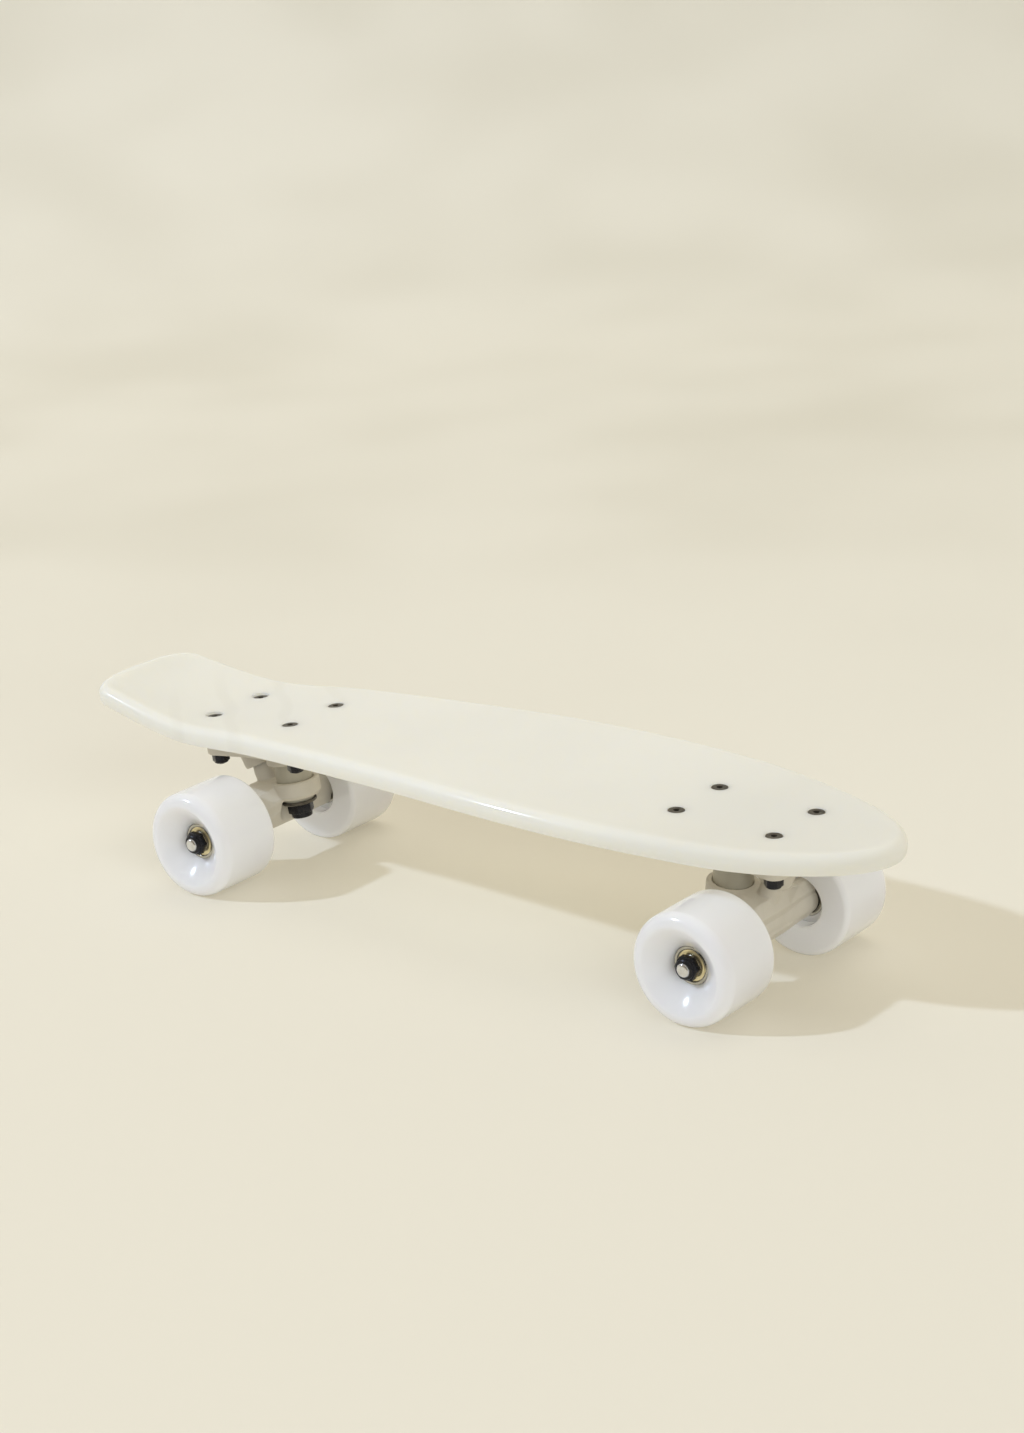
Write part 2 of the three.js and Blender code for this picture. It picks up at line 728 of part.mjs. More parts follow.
function makeScrew(corner) {
  const [x, y] = boltPlace(corner);
  const top = deckTopAboveAxle - screwHeadRecess;
  const low = truckHeight - plateThickness - lockNutHeight - screwEndReach;
  const body = turnedRod([
    [screwRadius, low],
    [screwRadius, top - screwHeadHeight],
    [screwHeadRadius, top - fitGap],
    [screwHeadRadius, top],
  ], smallFaces);
  const socket = cylinder(screwSocketRadius, top - screwSocketDepth, top + cutOverrun, hexFaces);
  return geometryOf(solidOf(body).subtract(solidOf(socket))).translate(x, y, 0);
}

function makeScrewNut(corner) {
  const [x, y] = boltPlace(corner);
  return lockNut({
    acrossFlats: lockNutAcrossFlats, hexHeight: lockNutHexHeight, height: lockNutHeight,
    boreRadius: screwRadius + fitGap, tipRadius: screwRadius + 2 * fitGap,
    start: truckHeight - plateThickness, direction: -1,
  }).translate(x, y, 0);
}

// Pieces on the axle, turned about Z with the outward end up, then laid along Y

function makeAxle() {
  return turnedRod([
    [axleRadius - axleEndChamfer, -axleEnd],
    [axleRadius, axleEndChamfer - axleEnd],
    [axleRadius, axleEnd - axleEndChamfer],
    [axleRadius - axleEndChamfer, axleEnd],
  ], smallFaces);
}

function makeWheel() {
  const outerFace = wheelInnerFace + wheelWidth;
  const seatRadius = bearingRadius + fitGap;
  const seatEnd = innerBearingFace + bearingWidth + fitGap;
  const ledgeEnd = outerBearingStart - fitGap;
  const crest = wheelRadius - wheelOuterRound;
  const mouth = outerFace - wheelMouthDepth;
  const innerCrest = wheelRadius - wheelInnerRound;
  const innerRoundStart = wheelInnerFace + wheelInnerRound;
  const outerRoundStart = outerFace - wheelOuterRound;
  return turnedRing([
    [wheelRecessRadius, wheelInnerFace],
    ...arcPoints(innerCrest, innerRoundStart, wheelInnerRound, -Math.PI / 2, 0, innerRoundSteps),
    ...arcPoints(crest, outerRoundStart, wheelOuterRound, 0, Math.PI / 2, roundSteps),
    [crest - wheelDishRound, outerFace - wheelDishRoundDrop],
    [seatRadius, mouth],
    [seatRadius, ledgeEnd],
    [wheelLedgeRadius, ledgeEnd],
    [wheelLedgeRadius, seatEnd],
    [seatRadius, seatEnd],
    [seatRadius, innerBearingFace],
    [wheelRecessRadius, innerBearingFace],
  ], wheelFaces, true);
}

// A shielded ball bearing from start outwards, its shield set back on the side that shows
function makeBearing(start, shieldOutwards) {
  const stop = start + bearingWidth;
  const [shown, hidden] = shieldOutwards ? [stop, start] : [start, stop];
  const shield = shown + (shieldOutwards ? -bearingShieldDepth : bearingShieldDepth);
  return turnedRing([
    [bearingBoreRadius, hidden],
    [bearingBoreRadius, shown],
    [bearingInnerRaceRadius, shown],
    [bearingInnerRaceRadius, shield],
    [bearingOuterRaceRadius, shield],
    [bearingOuterRaceRadius, shown],
    [bearingRadius, shown],
    [bearingRadius, hidden],
  ], bearingFaces);
}

const makeTube = (inner, outer, start, length, faces) =>
  turnedRing([[inner, start], [outer, start], [outer, start + length], [inner, start + length]], faces);

const makeSpacer = () =>
  makeTube(bearingBoreRadius, spacerRadius, spacerStart, spacerLength, smallFaces);

const makeSpeedWasher = () =>
  makeTube(bearingBoreRadius, speedWasherRadius, speedWasherStart, speedWasherThickness, smallFaces);

const makeAxleNut = () => lockNut({
  acrossFlats: axleNutAcrossFlats, hexHeight: axleNutHexHeight, height: axleNutHeight,
  boreRadius: axleRadius + fitGap, tipRadius: axleRadius + 2 * fitGap, start: axleNutStart, direction: 1,
});

// Assembly

function named(name, geometry, material) {
  const mesh = new THREE.Mesh(closedGeometry(geometry), material);
  mesh.name = name;
  return mesh;
}

function makeTruck({ end, padAngle }) {
  const truck = new THREE.Group();
  truck.rotation.y = padAngle;
  truck.add(named(`${end}_baseplate`, makeBaseplate(), greigePaint));
  truck.add(named(`${end}_pivot_cup`, makePivotCup(), darkUrethane));
  truck.add(named(`${end}_kingpin`, makeKingpin(), blackOxide));
  truck.add(named(`${end}_boardside_bushing`, makeBoardsideBushing(), greigeUrethane));
  truck.add(named(`${end}_roadside_bushing`, makeRoadsideBushing(), greigeUrethane));
  truck.add(named(`${end}_kingpin_washer`, makeKingpinWasher(), blackOxide));
  truck.add(named(`${end}_kingpin_nut`, makeKingpinNut(), blackNut));
  truck.add(named(`${end}_hanger`, makeHanger(), greigePaint));
  for (const corner of corners) {
    truck.add(named(`${end}_deck_screw_${corner.number}`, makeScrew(corner), blackOxide));
    truck.add(named(`${end}_deck_nut_${corner.number}`, makeScrewNut(corner), blackNut));
  }
  return truck;
}

// One wheel with what carries it, its outward end towards +Y or, turned half round about X, towards -Y
function makeWheelSet(end, side) {
  const wheelSet = new THREE.Group();
  wheelSet.rotation.x = side === 'left' ? -Math.PI / 2 : Math.PI / 2;
  const name = `${end}_${side}`;
  wheelSet.add(named(`${name}_wheel`, makeWheel(), whiteUrethane));
  wheelSet.add(named(`${name}_inner_bearing`, makeBearing(innerBearingFace, false), brightSteel));
  wheelSet.add(named(`${name}_outer_bearing`, makeBearing(outerBearingStart, true), brightSteel));
  wheelSet.add(named(`${name}_bearing_spacer`, makeSpacer(), zincSteel));
  wheelSet.add(named(`${name}_speed_washer`, makeSpeedWasher(), zincSteel));
  wheelSet.add(named(`${name}_axle_nut`, makeAxleNut(), blackNut));
  return wheelSet;
}

function makeEnd(end) {
  const carriage = new THREE.Group();
  carriage.position.set(end.axleX, 0, wheelRadius);
  const truck = new THREE.Group();
  truck.rotation.z = end.turn;
  truck.add(makeTruck(end));
  carriage.add(truck);
  const axle = named(`${end.end}_axle`, makeAxle(), zincSteel);
  axle.rotation.x = Math.PI / 2;
  carriage.add(axle);
  for (const side of ['left', 'right']) carriage.add(makeWheelSet(end.end, side));
  return carriage;
}

const skateboard = new THREE.Group();
skateboard.add(named('deck', makeDeck(), ivoryPlastic));
for (const end of ends) skateboard.add(makeEnd(end));

export default skateboard;
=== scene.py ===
"""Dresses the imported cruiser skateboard: finished surfaces, a pale studio, soft light and the camera."""
from __future__ import annotations
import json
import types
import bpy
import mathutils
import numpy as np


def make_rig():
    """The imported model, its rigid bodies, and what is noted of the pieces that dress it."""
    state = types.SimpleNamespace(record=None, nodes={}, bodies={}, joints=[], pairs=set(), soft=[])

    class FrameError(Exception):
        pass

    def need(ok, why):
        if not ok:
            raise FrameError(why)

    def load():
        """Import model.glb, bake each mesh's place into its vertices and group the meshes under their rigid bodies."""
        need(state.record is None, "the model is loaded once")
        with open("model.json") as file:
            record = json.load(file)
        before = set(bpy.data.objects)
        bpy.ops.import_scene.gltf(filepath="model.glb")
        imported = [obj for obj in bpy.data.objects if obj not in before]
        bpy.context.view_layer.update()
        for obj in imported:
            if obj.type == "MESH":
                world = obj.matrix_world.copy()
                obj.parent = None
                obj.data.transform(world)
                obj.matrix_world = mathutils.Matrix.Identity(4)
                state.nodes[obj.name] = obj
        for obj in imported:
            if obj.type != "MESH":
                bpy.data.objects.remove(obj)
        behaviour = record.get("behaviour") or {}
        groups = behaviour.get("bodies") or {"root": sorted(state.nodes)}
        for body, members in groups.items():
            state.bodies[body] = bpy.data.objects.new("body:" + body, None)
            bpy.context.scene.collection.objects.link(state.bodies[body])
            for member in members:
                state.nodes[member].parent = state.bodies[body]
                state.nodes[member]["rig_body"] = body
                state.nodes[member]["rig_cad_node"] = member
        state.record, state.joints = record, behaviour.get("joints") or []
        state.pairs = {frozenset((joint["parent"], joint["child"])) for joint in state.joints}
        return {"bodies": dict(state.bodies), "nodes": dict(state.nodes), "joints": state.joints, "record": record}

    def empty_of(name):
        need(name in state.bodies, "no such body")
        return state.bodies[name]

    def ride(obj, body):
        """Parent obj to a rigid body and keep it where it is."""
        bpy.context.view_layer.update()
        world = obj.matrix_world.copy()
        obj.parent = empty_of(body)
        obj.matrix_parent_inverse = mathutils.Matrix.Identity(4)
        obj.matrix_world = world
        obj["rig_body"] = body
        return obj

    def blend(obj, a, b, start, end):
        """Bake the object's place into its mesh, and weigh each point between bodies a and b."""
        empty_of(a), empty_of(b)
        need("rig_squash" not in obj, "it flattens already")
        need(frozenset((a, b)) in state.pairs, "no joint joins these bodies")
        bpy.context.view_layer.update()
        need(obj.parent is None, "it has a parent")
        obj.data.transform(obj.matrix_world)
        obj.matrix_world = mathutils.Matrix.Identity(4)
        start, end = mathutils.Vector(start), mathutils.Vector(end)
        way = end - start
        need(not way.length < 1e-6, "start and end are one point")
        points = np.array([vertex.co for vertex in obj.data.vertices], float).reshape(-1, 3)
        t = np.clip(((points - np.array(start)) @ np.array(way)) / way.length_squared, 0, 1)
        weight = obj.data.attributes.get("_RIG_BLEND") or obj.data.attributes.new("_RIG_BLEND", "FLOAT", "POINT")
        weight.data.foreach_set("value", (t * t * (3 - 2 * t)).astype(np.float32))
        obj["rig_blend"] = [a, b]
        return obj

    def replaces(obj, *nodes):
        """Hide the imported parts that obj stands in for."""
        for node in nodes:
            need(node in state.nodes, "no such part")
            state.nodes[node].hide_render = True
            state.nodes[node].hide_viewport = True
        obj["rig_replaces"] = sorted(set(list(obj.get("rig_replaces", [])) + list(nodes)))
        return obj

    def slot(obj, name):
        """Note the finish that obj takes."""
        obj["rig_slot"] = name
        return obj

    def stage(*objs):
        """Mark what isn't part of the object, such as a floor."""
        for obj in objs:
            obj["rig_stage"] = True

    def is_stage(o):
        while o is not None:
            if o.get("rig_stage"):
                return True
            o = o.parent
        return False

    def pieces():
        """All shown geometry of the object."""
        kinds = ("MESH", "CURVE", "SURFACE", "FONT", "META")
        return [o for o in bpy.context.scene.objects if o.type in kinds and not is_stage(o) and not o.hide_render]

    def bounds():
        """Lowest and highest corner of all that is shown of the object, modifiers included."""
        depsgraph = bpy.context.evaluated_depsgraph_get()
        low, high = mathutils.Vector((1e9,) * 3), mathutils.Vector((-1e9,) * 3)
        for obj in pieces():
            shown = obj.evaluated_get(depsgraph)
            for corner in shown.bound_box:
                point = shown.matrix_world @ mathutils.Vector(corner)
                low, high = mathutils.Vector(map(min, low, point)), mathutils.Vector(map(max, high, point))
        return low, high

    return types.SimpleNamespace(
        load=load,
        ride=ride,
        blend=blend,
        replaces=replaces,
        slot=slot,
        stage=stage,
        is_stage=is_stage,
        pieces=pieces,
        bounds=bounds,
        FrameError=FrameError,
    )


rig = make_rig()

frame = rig.load()

import json
import logging
import math
from dataclasses import dataclass, field
from enum import Enum
from typing import Iterable, Sequence

import bmesh
import bpy
from mathutils import Matrix, Vector

LOG = logging.getLogger("skateboard")
Pair = tuple[float, float]
Point = tuple[float, float, float]
Profile = list[Pair]

MILLIMETRE = 0.001
METRES = Matrix.Scale(MILLIMETRE, 4)
HERE = Matrix()
RIGHT_ANGLE = math.pi / 2
SQUARE = ((1, 1), (-1, 1), (-1, -1), (1, -1))

ROUND_STEPS = 96
SMALL_ROUND_STEPS = 64
BORE_STEPS = 48
CASTING_STEPS = 72
WELD_DISTANCE = 1e-4
CAST_GRID = 0.5
CAST_ROUNDS = 2
CREASE = 35.0
CAST_CREASE = 60.0
PLAY = 0.3
CUT_OVERRUN = 5.0


class End(Enum):
    """The two ends of the board."""

    FRONT = "front"
    REAR = "rear"


class Side(Enum):
    """The two sides of the board, as a rider who looks to the nose names them."""

    LEFT = "left"
    RIGHT = "right"


class Cut(Enum):
    """The ways in which one solid changes another."""

    JOIN = "UNION"
    REMOVE = "DIFFERENCE"
    KEEP_COMMON = "INTERSECT"


# Node trees


class Tree:
    """Adds nodes to one node tree."""

    def __init__(self, tree: bpy.types.NodeTree) -> None:
        """Holds the tree."""
        self.tree = tree

    def add(self, kind: str, settings: dict | None = None, inputs: dict | None = None) -> bpy.types.Node:
        """Adds any node.

        Args:
            kind: The node's type.
            settings: Its own settings, set before its inputs.
            inputs: Values, sockets or wires by the input's name or number.

        Returns:
            The node.
        """
        node = self.tree.nodes.new(kind)
        for key, value in (settings or {}).items():
            setattr(node, key, value)
        for key, value in (inputs or {}).items():
            self.feed(node.inputs[key], value)
        return node

    def feed(self, socket: bpy.types.NodeSocket, value: object) -> None:
        """Links an input, or sets its own value.

        Args:
            socket: The input.
            value: A wire or an output to link, or a plain value.
        """
        source = value.socket if isinstance(value, Wire) else value
        if isinstance(source, bpy.types.NodeSocket):
            self.tree.links.new(source, socket)
        else:
            socket.default_value = (*value, 1.0) if socket.type == "RGBA" else value


class Wire:
    """An output socket of a material's nodes, on which ordinary arithmetic adds Math nodes."""

    def __init__(self, bench: Bench, socket: bpy.types.NodeSocket) -> None:
        """Holds the socket and the bench whose tree it is in."""
        self.bench = bench
        self.socket = socket

    def _math(self, operation: str, *values: Wire | float, clamp: bool = False) -> Wire:
        """Returns a Math node's result for these values, held between 0 and 1 if asked."""
        settings = {"operation": operation, "use_clamp": clamp}
        return self.bench.wire("ShaderNodeMath", settings, dict(enumerate(values)))

    def __add__(self, other: Wire | float) -> Wire:
        """Returns self + other."""
        return self._math("ADD", self, other)

    __radd__ = __add__

    def __mul__(self, other: Wire | float) -> Wire:
        """Returns self * other."""
        return self._math("MULTIPLY", self, other)

    __rmul__ = __mul__

    def __sub__(self, other: Wire | float) -> Wire:
        """Returns self - other."""
        return self._math("SUBTRACT", self, other)

    def __rsub__(self, other: float) -> Wire:
        """Returns other - self."""
        return self._math("SUBTRACT", other, self)

    def __pow__(self, power: float) -> Wire:
        """Returns self to a power."""
        return self._math("POWER", self, power)

    def __abs__(self) -> Wire:
        """Returns the size of self without its sign."""
        return self._math("ABSOLUTE", self)

    def least(self, other: Wire | float) -> Wire:
        """Returns the smaller of two values."""
        return self._math("MINIMUM", self, other)

    def sine(self) -> Wire:
        """Returns the sine of self."""
        return self._math("SINE", self)

    def held(self) -> Wire:
        """Returns self held between 0 and 1."""
        return self._math("ADD", self, 0.0, clamp=True)

    def ramp(self, low: float, high: float) -> Wire:
        """Takes a smooth step.

        Args:
            low: Where the result is 0.
            high: Where it is 1, above or below low.

        Returns:
            The step.
        """
        inputs = {"Value": self, "From Min": min(low, high), "From Max": max(low, high)}
        step = self.bench.wire("ShaderNodeMapRange", {"interpolation_type": "SMOOTHSTEP"}, inputs)
        return 1.0 - step if low > high else step


class Bench(Tree):
    """Builds one material from a principled shader and the nodes that feed it."""

    def __init__(self, name: str) -> None:
        """Makes the material with its two standing nodes.

        Args:
            name: The material's name.
        """
        self.material = bpy.data.materials.new(name)
        self.material.use_nodes = True
        super().__init__(self.material.node_tree)
        self.tree.nodes.clear()
        self.shader = self.add("ShaderNodeBsdfPrincipled")
        self.add("ShaderNodeOutputMaterial", {}, {"Surface": self.shader.outputs["BSDF"]})
        self.place = self.wire("ShaderNodeTexCoord", {}, {}, "Object")

    def wire(self, kind: str, settings: dict, inputs: dict, output: str | int = 0) -> Wire:
        """Adds a node and returns one of its outputs, the first unless another is named."""
        return Wire(self, self.add(kind, settings, inputs).outputs[output])

    def axes(self) -> list[Wire]:
        """Returns the three parts of the object position, in metres."""
        split = self.add("ShaderNodeSeparateXYZ", {}, {0: self.place})
        return [Wire(self, output) for output in split.outputs]

    def noise(self, scale: float, detail: float = 3.0, stretch: Point | None = None) -> Wire:
        """Makes noise from 0 to 1.

        Args:
            scale: Waves per metre.
            detail: Octaves of finer noise.
            stretch: How much tighter the pattern is along each axis, where it is.

        Returns:
            The noise.
        """
        vector = self.place
        if stretch:
            vector = self.wire("ShaderNodeMapping", {}, {"Vector": vector, "Scale": stretch})
        return self.wire("ShaderNodeTexNoise", {}, {"Vector": vector, "Scale": scale, "Detail": detail})

    def mix(self, factor: Wire, low: Point, high: Point) -> Wire:
        """Returns a blend of two colours."""
        return self.wire("ShaderNodeMix", {"data_type": "RGBA"}, {0: factor, 6: low, 7: high}, 2)

    def bump(self, height: Wire, strength: float, distance: float, under: Wire | None = None) -> Wire:
        """Makes a rough normal.

        Args:
            height: How high each spot stands.
            strength: How much of it shows.
            distance: What a height of 1 stands for, in metres.
            under: Another bump that this one lies over.

        Returns:
            The normal.
        """
        inputs = {"Height": height, "Strength": strength, "Distance": distance}
        if under:
            inputs["Normal"] = under
        return self.wire("ShaderNodeBump", {}, inputs)

    def finish(self, slot: str, **values: object) -> Finish:
        """Feeds the main shader and hands the material over.

        Args:
            slot: The record's material slot that it stands for.
            values: Values or wires by the shader's input, with underscores for spaces.

        Returns:
            The finish.
        """
        for key, value in values.items():
            self.feed(self.shader.inputs[key.replace("_", " ")], value)
        return Finish(self.material, slot)


# Finishes


@dataclass(frozen=True)
class Finish:
    """A material and the record's slot that it stands for."""

    material: bpy.types.Material
    slot: str


@dataclass(frozen=True)
class MouldedIvory:
    """Milky, slightly clear ivory plastic with a satin skin; painted shade makes it darker towards the nose and a
    little darker round each screw.
    """

    bolts: tuple[Pair, ...]
    tone: Point = (0.815, 0.805, 0.755)
    # Colour of the random cloudy tone and of the painted shade towards the nose.
    cloud_and_nose_shade: Point = (0.76, 0.75, 0.70)
    # Colour of the real flow marks near the tail and of the painted shade round the screws.
    flow_and_screw_shade: Point = (0.60, 0.575, 0.50)
    # Where the painted shade round each screw fades, in metres.
    painted_ring_shade: Pair = (0.011, 0.0045)

    def _paint_screw_shade(self, bench: Bench, x: Wire, across: Wire) -> Wire:
        """Paints a soft ring of shade round each screw.

        Args:
            bench: The material's bench.
            x: Place along the board.
            across: Distance from the board's middle line.

        Returns:
            The painted shade.
        """
        near: Wire | None = None
        for bolt_x, bolt_y in self.bolts:
            gap = ((x - bolt_x) ** 2.0 + (across - bolt_y) ** 2.0) ** 0.5
            near = gap if near is None else near.least(gap)
        return near.ramp(*self.painted_ring_shade) * (bench.noise(60.0, 2.0) * 0.3 - 0.04)

    def make(self) -> Finish:
        """Makes the finish.

        Returns:
            The material with its slot.
        """
        bench = Bench("moulded_ivory")
        x, y, _ = bench.axes()
        cloud = bench.noise(9.0, 2.0).ramp(0.3, 0.75)
        # Random cloudy tone, plus painted shade that darkens the deck towards the nose.
        body = bench.mix((cloud * 0.4 + x.ramp(0.06, 0.24) * 0.9).held(), self.tone, self.cloud_and_nose_shade)
        # Painted shade in a soft ring round each screw.
        painted_ring_shade = self._paint_screw_shade(bench, x, abs(y))
        flow = ((x + y * 1.1) * 130.0 + bench.noise(12.0, 2.0) * 5.0).sine().ramp(0.55, 1.0)
        tail = x.ramp(-0.11, -0.15) * x.ramp(-0.25, -0.21)
        fine = bench.bump(bench.noise(2200.0, 2.0), 0.06, 0.00012)
        return bench.finish(
            "ivory_plastic",
            # The flow marks near the tail are real; the ring round each screw is painted shade.
            Base_Color=bench.mix((painted_ring_shade + flow * tail * 0.12).held(), body, self.flow_and_screw_shade),
            Roughness=bench.noise(35.0, 3.0) * 0.12 + 0.38,
            Normal=bench.bump(bench.noise(24.0, 1.0), 0.2, 0.0012, fine),
            Specular_IOR_Level=0.2,
            Coat_Weight=0.5,
            Coat_Roughness=0.1,
            Subsurface_Weight=0.9,
            Subsurface_Radius=(1.0, 0.95, 0.8),
            Subsurface_Scale=0.011,
            IOR=1.49,
        )


@dataclass(frozen=True)
class SoftUrethane:
    """Glossy cast urethane, white with a touch of lilac, more rubbed where it rolls."""

    tone: Point = (0.83, 0.83, 0.85)
    cloud: Point = (0.80, 0.795, 0.83)

    def make(self) -> Finish:
        """Makes the finish.

        Returns:
            The material with its slot.
        """
        bench = Bench("soft_urethane")
        across = abs(bench.axes()[1])
        drift = bench.noise(28.0, 2.0).ramp(0.35, 0.8)
        tread = across.ramp(0.036, 0.043) * across.ramp(0.077, 0.068)
        rubbed = tread * (bench.noise(24.0, 2.0) * 0.06 + 0.06)
        return bench.finish(
            "white_urethane",
            Base_Color=bench.mix(drift * 0.5, self.tone, self.cloud),
            Roughness=rubbed + 0.16,
            Normal=bench.bump(bench.noise(1800.0, 2.0), 0.05, 0.0001),
            Coat_Weight=0.5,
            Coat_Roughness=0.1,
            Subsurface_Weight=0.7,
            Subsurface_Radius=(0.95, 0.9, 0.95),
            Subsurface_Scale=0.009,
            IOR=1.5,
        )


@dataclass(frozen=True)
class CastCoating:
    """Matte coating over cast metal, or a moulded skin like it, with fine grain."""

    name: str = "cast_coating"
    slot: str = "greige_paint"
    tone: Point = (0.63, 0.585, 0.50)
    worn: Point = (0.55, 0.51, 0.43)
    roughness: float = 0.5
    grain: float = 0.35

    def make(self) -> Finish:
        """Makes the finish.

        Returns:
            The material with its slot.
        """
        bench = Bench(self.name)
        cloud = bench.noise(55.0, 4.0).ramp(0.35, 0.75)
        speck = bench.noise(900.0, 2.0).ramp(0.64, 0.72)
        pebble = bench.bump(bench.noise(1500.0, 3.0), self.grain, 0.0001)
        return bench.finish(
            self.slot,
            Base_Color=bench.mix((cloud * 0.45 + speck * 0.25).held(), self.tone, self.worn),
            Roughness=bench.noise(120.0, 3.0) * 0.16 + (self.roughness - 0.08),
            Normal=bench.bump(bench.noise(260.0, 2.0), self.grain, 0.0002, pebble),
        )


@dataclass(frozen=True)
class TurnedSteel:
    """Steel with fine rings from its making: bright, brassy, oxidised or plated."""

    name: str
    slot: str
    tone: Point
    worn: Point
    roughness: float
    metallic: float = 1.0
    streak: Point = (40.0, 1.0, 40.0)

    def make(self) -> Finish:
        """Makes the finish.

        Returns:
            The material with its slot.
        """
        bench = Bench(self.name)
        cloud = bench.noise(300.0, 3.0).ramp(0.4, 0.75)
        rings = bench.noise(90.0, 3.0, self.streak)
        return bench.finish(
            self.slot,
            Base_Color=bench.mix(cloud * 0.6, self.tone, self.worn),
            Roughness=rings * 0.16 + (self.roughness - 0.08),
            Normal=bench.bump(rings, 0.12, 0.00008),
            Metallic=self.metallic,
        )


@dataclass(frozen=True)
class Backdrop:
    """A plain cream sweep with painted shade: lighter at the camera's left, darker further back, with faint soft
    painted shadow patches behind the board.
    """

    tone: Point = (0.825, 0.786, 0.692)
    shade: Point = (0.62, 0.58, 0.475)
    yaw_sine: float = 0.637
    yaw_cosine: float = 0.771

    def make(self) -> bpy.types.Material:
        """Makes the finish.

        Returns:
            The material, which no slot of the record stands for.
        """
        bench = Bench("backdrop")
        x, y, _ = bench.axes()
        near = ((x ** 2.0 + y ** 2.0) ** 0.5).ramp(4.2, 2.8)
        # Painted shade: soft shadow patches, which fade out beyond about 4 metres from the board.
        cloud = (bench.noise(3.2, 1.0).ramp(0.35, 0.75) - 0.5) * near + 0.5
        far = (y * self.yaw_cosine - x * self.yaw_sine).ramp(0.1, 1.3)
        right = (x * self.yaw_cosine + y * self.yaw_sine).ramp(-0.7, 1.0)
        # Painted shade: darker further back and towards the camera's right, with the soft patches further back.
        painted_backdrop_shade = far * (cloud * 0.3 + right * 0.1 + 0.12) + right * 0.18
        return bench.finish(
            "",
            Base_Color=bench.mix(painted_backdrop_shade.held(), self.tone, self.shade),
            Roughness=bench.noise(600.0, 2.0) * 0.1 + 0.75,
            Specular_IOR_Level=0.2,
        ).material


class Look(Enum):
    """The finishes that the trucks and wheels share."""

    CASTING = CastCoating()
    BUSHING = CastCoating(
        "bushing_urethane", "greige_urethane", (0.46, 0.43, 0.345), (0.42, 0.39, 0.31), 0.42, 0.08,
    )
    OXIDE = TurnedSteel(
        "oxidised_steel", "black_oxide", (0.13, 0.118, 0.10), (0.06, 0.054, 0.047), 0.38, 0.85,
    )
    BLACK = TurnedSteel(
        "black_plating", "black_zinc", (0.022, 0.022, 0.026), (0.012, 0.012, 0.014), 0.28, 0.6,
    )
    NYLON = CastCoating("dark_nylon", "black_zinc", (0.03, 0.03, 0.034), (0.02, 0.02, 0.022), 0.45, 0.1)
    ZINC = TurnedSteel("zinc_plating", "zinc_steel", (0.72, 0.72, 0.72), (0.55, 0.54, 0.52), 0.2)
    RACE = TurnedSteel("polished_race", "bright_steel", (0.46, 0.445, 0.40), (0.34, 0.33, 0.29), 0.2)
    SHIELD = TurnedSteel("brassy_shield", "bright_steel", (0.80, 0.70, 0.43), (0.66, 0.58, 0.36), 0.3)
    # The inner shield is painted dark to stand for the shade inside the wheel's inner recess.
    INNER_SHIELD = TurnedSteel("shade_painted_shield", "bright_steel", (0.20, 0.19, 0.175), (0.13, 0.125, 0.115), 0.36)
    URETHANE = SoftUrethane()


# Outlines


def shares(count: int) -> list[float]:
    """Returns how far each end of count equal steps is along the way, from 0 to 1."""
    return [step / count for step in range(count + 1)]


def arc(centre: Pair, radius: float, start: float, stop: float, steps: int) -> Profile:
    """Returns the points of an arc between two angles in degrees, both ends included."""
    angles = [math.radians(start + (stop - start) * share) for share in shares(steps)]
    return [(centre[0] + radius * math.cos(angle), centre[1] + radius * math.sin(angle)) for angle in angles]


def bow(start: Sequence[float], middle: Sequence[float], stop: Sequence[float], steps: int) -> Profile:
    """Returns the points of a curve that leaves start towards middle and comes in to stop from it."""
    a, b, c = Vector(start), Vector(middle), Vector(stop)
    return [tuple(a * (1 - t) ** 2 + b * 2 * t * (1 - t) + c * t * t) for t in shares(steps)]


def rounded(profile: Profile, radius: float, steps: int = 4, closed: bool = False) -> Profile:
    """Rounds the corners of a profile.

    Args:
        profile: The corners in order.
        radius: How far from each corner the rounding starts, at most 0.45 of a side.
        steps: Chords in each corner.
        closed: Whether the last point joins the first.

    Returns:
        The rounded profile.
    """
    out: Profile = []
    count = len(profile)
    for i, corner in enumerate(profile):
        if not closed and i in (0, count - 1):
            out.append(corner)
            continue
        here = Vector(corner)
        sides = [Vector(profile[other]) - here for other in (i - 1, (i + 1) % count)]
        reach = min(radius, *(0.45 * side.length for side in sides))
        start, stop = (here + side.normalized() * reach for side in sides)
        out += bow(start, here, stop, steps)
    return out


def block(inner: float, outer: float, low: float, high: float) -> Profile:
    """Returns the four corners of a plain ring's section."""
    return [(inner, low), (outer, low), (outer, high), (inner, high)]


def up(height: float) -> Matrix:
    """Returns a move along Z."""
    return Matrix.Translation((0, 0, height))


def leant(x: float, z: float, degrees: float) -> Matrix:
    """Returns a move in the plane y = 0 with a lean about Y."""
    return Matrix.Translation((x, 0, z)) @ Matrix.Rotation(math.radians(degrees), 4, "Y")


# Solids


